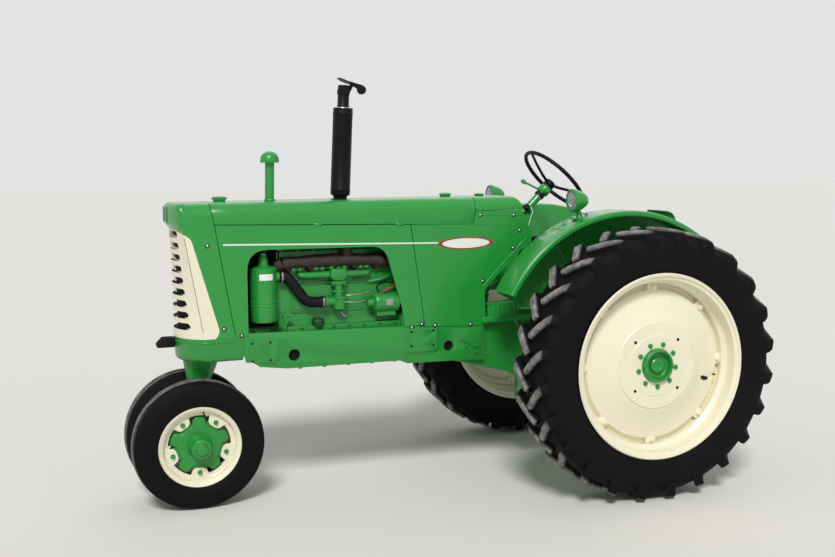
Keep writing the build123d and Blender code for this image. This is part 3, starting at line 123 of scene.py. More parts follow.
def add_node(tree: bpy.types.NodeTree, kind: str, settings: Optional[dict] = None,
             links: Optional[dict] = None) -> bpy.types.Node:
    """Add one node with its settings and incoming links.

    Args:
        tree: The material's or world's node tree.
        kind: Blender's name of the node type.
        settings: Values by property name, input name or input number.
        links: Source sockets by input name or number.

    Returns:
        The new node.
    """
    node = tree.nodes.new(kind)
    for key, value in (settings or {}).items():
        if isinstance(key, int) or key in node.inputs.keys():
            node.inputs[key].default_value = value
        else:
            setattr(node, key, value)
    for key, source in (links or {}).items():
        tree.links.new(source, node.inputs[key])
    return node


@dataclass(frozen=True)
class Finish:
    """What every finish has: its material's name and its slot's name."""

    name: str
    slot: str

    def start(self) -> tuple[bpy.types.Material, bpy.types.NodeTree, bpy.types.Node, bpy.types.NodeSocket]:
        """Make the material with its shader and coordinates.

        Returns:
            The material, its tree, the shader node and the socket with places in metres.
        """
        material = bpy.data.materials.new(self.name)
        material.use_nodes = True
        tree = material.node_tree
        tree.nodes.clear()
        shader = add_node(tree, "ShaderNodeBsdfPrincipled")
        add_node(tree, "ShaderNodeOutputMaterial", links={"Surface": shader.outputs["BSDF"]})
        place = add_node(tree, "ShaderNodeTexCoord")
        return material, tree, shader, place.outputs["Object"]

    def make(self) -> bpy.types.Material:
        """Build the material; each finish has its own."""
        raise NotImplementedError

    def material(self) -> bpy.types.Material:
        """The finish's material, built once."""
        return bpy.data.materials.get(self.name) or self.make()


@dataclass(frozen=True)
class GlossEnamel(Finish):
    """Sprayed gloss enamel: an even bright colour under a clear shine, with slight orange peel."""

    colour: str
    shade: str
    ground: Ground = Ground.SHEET
    roughness: float = 0.3

    def make(self) -> bpy.types.Material:
        """Build the enamel with its colour drift, dust in the roughness and relief.

        Returns:
            The material.
        """
        material, tree, shader, spot = self.start()
        # Restored paint drifts a little in depth over a hand's breadth.
        drift = add_node(tree, "ShaderNodeTexNoise",
                         {"Scale": per_metre(260), "Detail": 4.0, "Roughness": 0.6}, {"Vector": spot})
        mix = add_node(tree, "ShaderNodeMix",
                       {"data_type": "RGBA", 6: linear(self.colour), 7: linear(self.shade)},
                       {0: drift.outputs["Fac"]})
        tree.links.new(mix.outputs[2], shader.inputs["Base Color"])
        haze = add_node(tree, "ShaderNodeTexNoise", {"Scale": per_metre(55), "Detail": 3.0},
                        {"Vector": spot})
        rough = add_node(tree, "ShaderNodeMapRange",
                         {"From Min": 0.35, "From Max": 0.7, "To Min": self.roughness - 0.05,
                          "To Max": self.roughness + 0.1}, {"Value": haze.outputs["Fac"]})
        tree.links.new(rough.outputs["Result"], shader.inputs["Roughness"])
        # Orange peel is 1 to 2 mm wide and sand-cast skin 1 mm; both are drawn coarser so that they show.
        grain = 9.0 if self.ground is Ground.CAST else 16.0
        depth = 0.35 if self.ground is Ground.CAST else 0.05
        relief = add_node(tree, "ShaderNodeTexNoise", {"Scale": per_metre(grain), "Detail": 2.0},
                          {"Vector": spot})
        bump = add_node(tree, "ShaderNodeBump", {"Strength": depth, "Distance": 0.0015},
                        {"Height": relief.outputs["Fac"]})
        tree.links.new(bump.outputs["Normal"], shader.inputs["Normal"])
        shader.inputs["IOR"].default_value = 1.5
        shader.inputs["Coat Weight"].default_value = 0.3
        shader.inputs["Coat Roughness"].default_value = 0.12
        return material


@dataclass(frozen=True)
class TreadRubber(Finish):
    """Moulded tyre rubber: near black on the sidewall, scuffed grey-brown where it meets the road."""

    axle: tuple[float, float]
    worn_from_mm: float
    worn_to_mm: float
    worn: str = "a59f9e"
    black: str = "0d0c0f"
    dusty: str = "151213"

    def make(self) -> bpy.types.Material:
        """Build the rubber with wear by its distance from the axle.

        Returns:
            The material.
        """
        material, tree, shader, spot = self.start()
        centre = at(self.axle[0], 0.0, self.axle[1])
        arm = add_node(tree, "ShaderNodeVectorMath", {"operation": "SUBTRACT", 1: centre}, {0: spot})
        flat = add_node(tree, "ShaderNodeVectorMath", {"operation": "MULTIPLY", 1: (1.0, 0.0, 1.0)},
                        {0: arm.outputs["Vector"]})
        reach = add_node(tree, "ShaderNodeVectorMath", {"operation": "LENGTH"}, {0: flat.outputs["Vector"]})
        worn = add_node(tree, "ShaderNodeMapRange",
                        {"From Min": self.worn_from_mm * MM, "From Max": self.worn_to_mm * MM},
                        {"Value": reach.outputs["Value"]})
        # Dust lies in patches a few centimetres wide.
        patch = add_node(tree, "ShaderNodeTexNoise",
                         {"Scale": per_metre(38), "Detail": 5.0, "Roughness": 0.65}, {"Vector": spot})
        patch_level = add_node(tree, "ShaderNodeMapRange",
                               {"From Min": 0.36, "From Max": 0.64, "To Min": 0.3},
                               {"Value": patch.outputs["Fac"]})
        share = add_node(tree, "ShaderNodeMath", {"operation": "MULTIPLY"},
                         {0: worn.outputs["Result"], 1: patch_level.outputs["Result"]})
        brown = add_node(tree, "ShaderNodeTexNoise", {"Scale": per_metre(300), "Detail": 3.0},
                         {"Vector": spot})
        base = add_node(tree, "ShaderNodeMix",
                        {"data_type": "RGBA", 6: linear(self.black), 7: linear(self.dusty)},
                        {0: brown.outputs["Fac"]})
        mix = add_node(tree, "ShaderNodeMix", {"data_type": "RGBA", 7: linear(self.worn)},
                       {0: share.outputs["Value"], 6: base.outputs[2]})
        tree.links.new(mix.outputs[2], shader.inputs["Base Color"])
        grain = add_node(tree, "ShaderNodeTexNoise", {"Scale": per_metre(7), "Detail": 3.0},
                         {"Vector": spot})
        bump = add_node(tree, "ShaderNodeBump", {"Strength": 0.3, "Distance": 0.001},
                        {"Height": grain.outputs["Fac"]})
        tree.links.new(bump.outputs["Normal"], shader.inputs["Normal"])
        shader.inputs["Roughness"].default_value = 0.66
        shader.inputs["IOR"].default_value = 1.52
        shader.inputs["Specular IOR Level"].default_value = 0.09
        return material


@dataclass(frozen=True)
class MottledSurface(Finish):
    """A finish of two tones in patches: heat-stained iron, satin paint, rubber, vinyl or bare steel."""

    colour: str
    patch: str
    patch_mm: float
    grain_mm: float
    relief: float
    roughness: float
    metallic: float = 0.0
    specular: float = 0.5

    def make(self) -> bpy.types.Material:
        """Build the two-tone surface with its fine relief.

        Returns:
            The material.
        """
        material, tree, shader, spot = self.start()
        patches = add_node(tree, "ShaderNodeTexNoise",
                           {"Scale": per_metre(self.patch_mm), "Detail": 6.0, "Roughness": 0.62},
                           {"Vector": spot})
        level = add_node(tree, "ShaderNodeMapRange", {"From Min": 0.4, "From Max": 0.62},
                         {"Value": patches.outputs["Fac"]})
        mix = add_node(tree, "ShaderNodeMix",
                       {"data_type": "RGBA", 6: linear(self.colour), 7: linear(self.patch)},
                       {0: level.outputs["Result"]})
        tree.links.new(mix.outputs[2], shader.inputs["Base Color"])
        grain = add_node(tree, "ShaderNodeTexNoise", {"Scale": per_metre(self.grain_mm), "Detail": 4.0},
                         {"Vector": spot})
        bump = add_node(tree, "ShaderNodeBump", {"Strength": self.relief, "Distance": 0.001},
                        {"Height": grain.outputs["Fac"]})
        tree.links.new(bump.outputs["Normal"], shader.inputs["Normal"])
        shader.inputs["Roughness"].default_value = self.roughness
        shader.inputs["Metallic"].default_value = self.metallic
        shader.inputs["Specular IOR Level"].default_value = self.specular
        return material


@dataclass(frozen=True)
class LampGlass(Finish):
    """Pressed lens glass: clear, with fine upright flutes that spread the beam."""

    flute_mm: float = 9.0

    def make(self) -> bpy.types.Material:
        """Build the glass with its flutes.

        Returns:
            The material.
        """
        material, tree, shader, spot = self.start()
        flutes = add_node(tree, "ShaderNodeTexWave",
                          {"bands_direction": "Y", "Scale": per_metre(self.flute_mm) / 6.283},
                          {"Vector": spot})
        bump = add_node(tree, "ShaderNodeBump", {"Strength": 0.4, "Distance": 0.001},
                        {"Height": flutes.outputs["Fac"]})
        tree.links.new(bump.outputs["Normal"], shader.inputs["Normal"])
        shader.inputs["Base Color"].default_value = linear("e4eaee")
        shader.inputs["Roughness"].default_value = 0.06
        shader.inputs["IOR"].default_value = 1.5
        shader.inputs["Transmission Weight"].default_value = 0.85
        return material


# Sprayed enamel on pressed sheet is bright and smooth, with long soft highlights.
GREEN_SHEET = GlossEnamel("leaf_green_enamel_sheet", "green_sheet", "219539", "1d8a34")
# The same enamel over sand castings keeps their grain, which breaks the highlights up.
GREEN_CAST = GlossEnamel("leaf_green_enamel_casting", "green_cast", "209237", "1b812f", Ground.CAST, 0.36)
GREEN_ENGINE = GlossEnamel("leaf_green_enamel_engine", "green_engine", "219439", "1a7c2e", Ground.CAST, 0.38)
# Cream, white and red are finish coats of the same make and shine alike.
CREAM = GlossEnamel("cream_gloss_enamel", "cream_sheet", "efe9d0", "e6dfc4")
WHITE = GlossEnamel("white_stripe_enamel", "cream_sheet", "f0f0ea", "e9e9e2")
RED = GlossEnamel("red_border_enamel", "cream_sheet", "a02a26", "902521")
# Upright pipes carry a satin black heat paint, slightly brown where it has cooked.
BLACK_PAINT = MottledSurface("satin_black_heat_paint", "black_paint", "0e0e10", "161516", 90, 6, 0.12, 0.4,
                             specular=0.14)
# Iron that was painted and burnt clean: brown-black with rust showing through in patches.
RUSTY_IRON = MottledSurface("heat_stained_iron", "rusty_iron", "221a19", "3d2b26", 34, 5, 0.5, 0.66)
# Radiator black is dusty and takes no shine, so the core reads as depth. The same matt black is also painted
# shade: the screen behind the grille, the sheet beside the fan and the flat discs for holes.
BLACK_CORE_AND_SHADE = MottledSurface("matt_black_core_and_painted_shade", "black_core", "0b0b0b", "131212", 60, 4, 0.3, 0.8,
                            specular=0.2)
# Moulded hose rubber has a faint skin that lifts its edges off the dark.
BLACK_RUBBER = MottledSurface("moulded_black_rubber", "black_rubber", "0e0f12", "141518", 50, 4, 0.15, 0.5,
                              specular=0.18)
# Bright steel keeps fine marks of the machining that blur its highlights.
BARE_STEEL = MottledSurface("machined_bare_steel", "bare_steel", "b9b8b4", "a3a19c", 24, 3, 0.1, 0.3, 1.0)
# Seat vinyl is grained, so its black turns grey where the light grazes it.
VINYL = MottledSurface("black_seat_vinyl", "seat_vinyl", "1d1c1c", "252322", 70, 5, 0.35, 0.5)
# Red woven sleeve over the cable, the one bright line in the engine bay.
RED_SLEEVE = MottledSurface("red_cable_sleeve", "black_rubber", "a8261f", "8f211c", 20, 4, 0.1, 0.45)
# Green enamel that oil and heat have darkened nearly to black.
SMOKED_GREEN = MottledSurface("smoked_green_enamel", "green_engine", "123d1c", "1b5527", 16, 4, 0.3, 0.4)
# Silvered brass is a soft mirror behind the lens.
SILVERED = MottledSurface("silvered_reflector", "bare_steel", "d9dadb", "cfd0d2", 30, 9, 0.02, 0.08, 1.0)
# Blank plate whose paint has faded to a brownish oxide.
OXIDE_PLATE = MottledSurface("oxide_red_blank_plate", "black_paint", "5d4444", "6b5553", 40, 6, 0.1, 0.45)
GLASS = LampGlass("fluted_lamp_glass", "lamp_glass")
# Only the outer few millimetres of a tread are scuffed, so wear starts near the tyre's full radius.
REAR_RUBBER = TreadRubber("rear_tyre_rubber", "tyre", (0.0, REAR_AXLE_Z), 733, 751)
FRONT_RUBBER = TreadRubber("front_tyre_rubber", "tyre", (WHEELBASE, FRONT_AXLE_Z), 352.5, 358.5, "8c8684")


def offset_path(points: Outline, distance: float) -> Outline:
    """Set an open path off to its left.

    Args:
        points: Corners of the path.
        distance: How far to the left, negative for the right.

    Returns:
        The mitred corners of the new path.
    """
    shifted = []
    for index, (x, y) in enumerate(points):
        before = points[max(index - 1, 0)]
        after = points[min(index + 1, len(points) - 1)]
        into = Vector((x - before[0], y - before[1])) if index else Vector((after[0] - x, after[1] - y))
        out = Vector((after[0] - x, after[1] - y)) if index < len(points) - 1 else into.copy()
        into.normalize()
        out.normalize()
        normal = Vector((-into.y - out.y, into.x + out.x)).normalized()
        reach = distance / max(normal.x * -into.y + normal.y * into.x, 0.3)
        shifted.append((x + normal.x * reach, y + normal.y * reach))
    return shifted


def band(points: Outline, thickness: float) -> Outline:
    """Closed outline of a sheet laid on the left side of an open path."""
    return points + offset_path(points, thickness)[::-1]


def rounded(points: Outline, radius: float, steps: int = 4, closed: bool = True) -> Outline:
    """Round the corners of an outline.

    Args:
        points: Corners in order.
        radius: Rounding radius at each corner, cut down on short edges.
        steps: Edges that each rounding gets.
        closed: Whether the last corner joins the first.

    Returns:
        The rounded outline.
    """
    result: Outline = []
    count = len(points)
    for index, corner in enumerate(points):
        if not closed and index in (0, count - 1):
            result.append(tuple(corner))
            continue
        here = Vector(corner)
        before = Vector(points[index - 1]) - here
        after = Vector(points[(index + 1) % count]) - here
        reach = min(radius, before.length * 0.45, after.length * 0.45)
        start = here + before.normalized() * reach
        end = here + after.normalized() * reach
        for step in range(steps + 1):
            t = step / steps
            spot = start * (1 - t) ** 2 + here * 2 * t * (1 - t) + end * t ** 2
            result.append(tuple(spot))
    return result


def circle(radius: float, steps: int, start: float = 0.0) -> Outline:
    """Points spread evenly round a circle, anticlockwise from a start angle."""
    turns = [2 * math.pi * i / steps + start for i in range(steps)]
    return [(radius * math.cos(t), radius * math.sin(t)) for t in turns]


def oblong(low: tuple[float, float], high: tuple[float, float]) -> Outline:
    """Corners of a rectangle between two of them."""
    return [low, (high[0], low[1]), high, (low[0], high[1])]


def spins(steps: int, start: float = 0.0, axis: str = "Z") -> list[Matrix]:
    """Rotations spread evenly round an axis, from a start angle."""
    return [Matrix.Rotation(2 * math.pi * i / steps + start, 4, axis) for i in range(steps)]


def facing(origin: Point, direction: Point, roll: float = 0.0) -> Matrix:
    """Placement whose local Z points along a direction.

    Args:
        origin: Place of the local origin, in millimetres from the rear axle.
        direction: Where the local Z axis points.
        roll: Turn about that axis, in radians.

    Returns:
        The placement matrix.
    """
    turn = Vector(direction).to_track_quat("Z", "Y").to_matrix().to_4x4()
    return Matrix.Translation(Vector(origin)) @ turn @ Matrix.Rotation(roll, 4, "Z")


def inside(spot: Vector, loop: Outline) -> bool:
    """Whether a flat point lies inside a closed loop.

    Args:
        spot: The point.
        loop: Corners of the loop in order.

    Returns:
        True inside, by the count of edges that a level line from the point crosses.
    """
    hit = False
    for a, b in zip(loop, list(loop[1:]) + [loop[0]]):
        if (a[1] > spot.y) != (b[1] > spot.y):
            if spot.x < (b[0] - a[0]) * (spot.y - a[1]) / (b[1] - a[1]) + a[0]:
                hit = not hit
    return hit


def doubled_area(outline: Outline) -> float:
    """Twice the area of a closed outline, positive where it runs anticlockwise."""
    return sum(a[0] * b[1] - b[0] * a[1] for a, b in zip(outline, outline[1:] + outline[:1]))


class Draft:
    """One piece while it is being built: points and faces in millimetres from the rear axle."""

    def __init__(self) -> None:
        """Start with nothing."""
        self.points: list[Vector] = []
        self.faces: list[tuple[int, ...]] = []

    def add(self, points: Iterable[Point], faces: Iterable[Sequence[int]],
            place: Optional[Matrix] = None) -> "Draft":
        """Add points and faces.

        Args:
            points: The new points.
            faces: Faces, by the numbers of the new points.
            place: Placement that moves them.

        Returns:
            This draft.
        """
        base = len(self.points)
        for point in points:
            spot = Vector(point)
            self.points.append(place @ spot if place else spot)
        self.faces.extend(tuple(base + i for i in face) for face in faces)
        return self

    def join(self, other: "Draft", place: Optional[Matrix] = None) -> "Draft":
        """Add another draft's points and faces."""
        return self.add(other.points, other.faces, place)

    def loft(self, rings: Sequence[Sequence[Point]], place: Optional[Matrix] = None, caps: bool = True,
             closed: bool = False) -> "Draft":
        """Skin equal rings of points.

        Args:
            rings: Rings in order, each with the same count of points.
            place: Placement of the whole.
            caps: Whether the first and last ring are filled.
            closed: Whether the last ring joins the first.

        Returns:
            This draft.
        """
        count = len(rings[0])
        faces: list[tuple[int, ...]] = []
        spans = len(rings) if closed else len(rings) - 1
        for ring in range(spans):
            low = ring * count
            high = ((ring + 1) % len(rings)) * count
            for i in range(count):
                j = (i + 1) % count
                faces.append((low + i, low + j, high + j, high + i))
        if caps and not closed:
            faces.append(tuple(range(count))[::-1])
            faces.append(tuple((len(rings) - 1) * count + i for i in range(count)))
        return self.add([p for ring in rings for p in ring], faces, place)

    def grid(self, rows: Sequence[Sequence[Point]]) -> "Draft":
        """Skin equal rows of points as an open sheet.

        Args:
            rows: Rows in order, each with the same count of points.

        Returns:
            This draft.
        """
        count = len(rows[0])
        faces = [(r * count + c, r * count + c + 1, (r + 1) * count + c + 1, (r + 1) * count + c)
                 for r in range(len(rows) - 1) for c in range(count - 1)]
        return self.add([p for row in rows for p in row], faces)

    def slab(self, outline: Outline, *stops: float) -> "Draft":
        """Draw a closed outline of (x, z) out through places across the machine."""
        return self.loft([[(x, y, z) for x, z in outline] for y in stops])

    def lathe(self, profile: Outline, place: Matrix, steps: int = 96) -> "Draft":
        """Turn a closed profile.

        Args:
            profile: Its points as (height, radius).
            place: Placement whose Z axis it turns about.
            steps: Faces round it.

        Returns:
            This draft.
        """
        rings = []
        for step in range(steps):
            turn = 2 * math.pi * step / steps
            rings.append([(r * math.cos(turn), r * math.sin(turn), h) for h, r in profile])
        return self.loft(rings, place, caps=False, closed=True)

    def plate(self, outline: Outline, low: float, high: float, place: Optional[Matrix] = None,
              chamfer: float = 0.0) -> "Draft":
        """Draw a closed outline upwards.

        Args:
            outline: Its points as (x, y).
            low: Height of its underside.
            high: Height of its top.
            place: Placement of the whole.
            chamfer: Width of the chamfer round both faces.

        Returns:
            This draft.
        """
        if chamfer <= 0:
            return self.loft([[(x, y, z) for x, y in outline] for z in (low, high)], place)
        path = [outline[-1]] + list(outline) + [outline[0]]
        inner = offset_path(path, chamfer if doubled_area(outline) > 0 else -chamfer)[1:-1]
        rings = [
            [(x, y, low) for x, y in inner], [(x, y, low + chamfer) for x, y in outline],
            [(x, y, high - chamfer) for x, y in outline], [(x, y, high) for x, y in inner],
        ]
        return self.loft(rings, place)

    def box(self, low: Point, high: Point, place: Optional[Matrix] = None, chamfer: float = 1.5) -> "Draft":
        """Box with its upright edges and rims chamfered.

        Args:
            low: Its lowest corner.
            high: Its highest corner.
            place: Placement of the whole.
            chamfer: Width of the chamfers.

        Returns:
            This draft.
        """
        outline = rounded(oblong((low[0], low[1]), (high[0], high[1])), chamfer, 1)
        return self.plate(outline, low[2], high[2], place, chamfer * 0.7)

    def tube(self, points: Sequence[Point], radius: float | Callable[[float], float], bend: float = 0.0,
             sides: int = 20, caps: bool = True) -> "Draft":
        """Sweep a round section along a path.

        Args:
            points: Corners of the path.
            radius: Radius, or a function of the share of the path's length.
            bend: Rounding of the corners.
            sides: Sides of the section.
            caps: Whether the ends are closed.

        Returns:
            This draft.
        """
        path = [Vector(p) for p in (rounded(list(points), bend, 7, closed=False) if bend else points)]
        lengths = [0.0]
        for before, after in zip(path, path[1:]):
            lengths.append(lengths[-1] + (after - before).length)
        frame_turn = (path[1] - path[0]).to_track_quat("Z", "Y")
        rings = []
        for index, spot in enumerate(path):
            ahead = path[min(index + 1, len(path) - 1)] - path[max(index - 1, 0)]
            along = frame_turn @ Vector((0, 0, 1))
            frame_turn = along.rotation_difference(ahead.normalized()) @ frame_turn
            size = radius(lengths[index] / lengths[-1]) if callable(radius) else radius
            rings.append([spot + frame_turn @ Vector((x, y, 0)) for x, y in circle(size, sides)])
        return self.loft(rings, caps=caps)

    def bolt(self, place: Matrix, across: float = 14.0, height: float = 7.0, washer: bool = True) -> "Draft":
        """Hexagon head, standing on a placement's XY plane.

        Args:
            place: The placement.
            across: Width over the flats.
            height: Height of the head.
            washer: Whether it has a washer.

        Returns:
            This draft.
        """
        if washer:
            self.plate(circle(across * 0.72, 16), 0.0, 1.8, place)
        hexagon = circle(across / 2 / math.cos(math.pi / 6), 6)
        self.loft([[(x, y, 1.5) for x, y in hexagon], [(x, y, height - 1.2) for x, y in hexagon],
                   [(x * 0.86, y * 0.86, height) for x, y in hexagon]], place)
        return self

    def dome(self, place: Matrix, radius: float, height: float, sides: int = 16) -> "Draft":
        """Round fastener head on a placement's XY plane.

        Args:
            place: The placement.
            radius: Radius of the head.
            height: Its height.
            sides: Faces round it.

        Returns:
            This draft.
        """
        rings = []
        for step in range(4):
            lift = math.pi / 2 * step / 4
            rings.append([(x * math.cos(lift), y * math.cos(lift), height * math.sin(lift))
                          for x, y in circle(radius, sides)])
        rings.append([(x * 0.05, y * 0.05, height) for x, y in circle(radius, sides)])
        return self.loft(rings, place)

    def flipped(self) -> "Draft":
        """The same draft on the other side of the machine."""
        return Draft().add([(p.x, -p.y, p.z) for p in self.points], [face[::-1] for face in self.faces])

    def on(self, side: Side) -> "Draft":
        """The draft as it is on the left, or flipped on the right."""
        return self.flipped() if side is Side.RIGHT else self

    def piece(self, name: str, finish: Finish, replaces: Sequence[str] = (), smooth_deg: float = 32.0,
              bevel: float = 0.0, sheet: float = 0.0, body: str = "chassis") -> bpy.types.Object:
        """Turn the draft to a Blender object that rides on a body.

        Args:
            name: The piece's name.
            finish: Its finish.
            replaces: CAD nodes that it stands for.
            smooth_deg: Edges sharper than this stay hard.
            bevel: Width of the rounded edges, or zero.
            sheet: Thickness that an open surface gets, inwards.
            body: The CAD body that it moves with.

        Returns:
            The new object.
        """
        mesh = bpy.data.meshes.new(name)
        mesh.from_pydata([at(*p) for p in self.points], [], self.faces)
        return dress(name, mesh, finish, body, replaces, smooth_deg, bevel, sheet)


def dress(name: str, mesh: bpy.types.Mesh, finish: Finish, body: str, replaces: Sequence[str] = (),
          smooth_deg: float = 32.0, bevel: float = 0.0, sheet: float = 0.0) -> bpy.types.Object:
    """Clean a mesh, round its edges and put it on its body.

    Args:
        name: The piece's name.
        mesh: Its mesh, in the frame's metres.
        finish: Its finish.
        body: The CAD body that it moves with.
        replaces: CAD nodes that it stands for.
        smooth_deg: Edges sharper than this stay hard.
        bevel: Width of the rounded edges in millimetres, or zero.
        sheet: Thickness in millimetres that an open surface gets, inwards.

    Returns:
        The new object.
    """
    work = bmesh.new()
    work.from_mesh(mesh)
    bmesh.ops.remove_doubles(work, verts=work.verts, dist=0.05 * MM)
    bmesh.ops.dissolve_degenerate(work, edges=work.edges, dist=0.05 * MM)
    bmesh.ops.recalc_face_normals(work, faces=work.faces)
    work.to_mesh(mesh)
    work.free()
    piece = bpy.data.objects.new(name, mesh)
    bpy.context.scene.collection.objects.link(piece)
    if sheet:
        thicken = piece.modifiers.new("sheet", "SOLIDIFY")
        thicken.thickness = sheet * MM
        thicken.offset = -1.0
        thicken.use_even_offset = False
    if bevel:
        edge = piece.modifiers.new("edges", "BEVEL")
        edge.width = bevel * MM
        edge.segments = 2
        edge.limit_method = "ANGLE"
        edge.angle_limit = math.radians(32)
        edge.use_clamp_overlap = True
    if sheet or bevel:
        graph = bpy.context.evaluated_depsgraph_get()
        final = bpy.data.meshes.new_from_object(piece.evaluated_get(graph))
        piece.modifiers.clear()
        piece.data = final
        mesh = final
    mesh.shade_smooth()
    mesh.set_sharp_from_angle(angle=math.radians(smooth_deg))
    mesh.materials.clear()
    mesh.materials.append(finish.material())
    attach(piece, body)
    if replaces:
        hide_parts(*replaces)
    LOG.info("%s: %d faces on %s", name, len(mesh.polygons), body)
    return piece


def softened(node: str, finish: Finish, radius: float, body: str = "chassis") -> bpy.types.Object:
    """A rigid CAD node with its edges rounded as a casting's or a pressed sheet's are.

    Args:
        node: The CAD node that it stands for.
        finish: Its finish.
        radius: Width of the rounded edges in millimetres.
        body: The CAD body that it moves with.

    Returns:
        The new object.
    """
    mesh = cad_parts[node].data.copy()
    mesh.name = f"{node}_skin"
    work = bmesh.new()
    work.from_mesh(mesh)
    bmesh.ops.remove_doubles(work, verts=work.verts, dist=0.01 * MM)
    bmesh.ops.dissolve_limit(work, angle_limit=math.radians(0.6), verts=work.verts, edges=work.edges)
    work.to_mesh(mesh)
    work.free()
    return dress(mesh.name, mesh, finish, body, (node,), 32.0, radius)


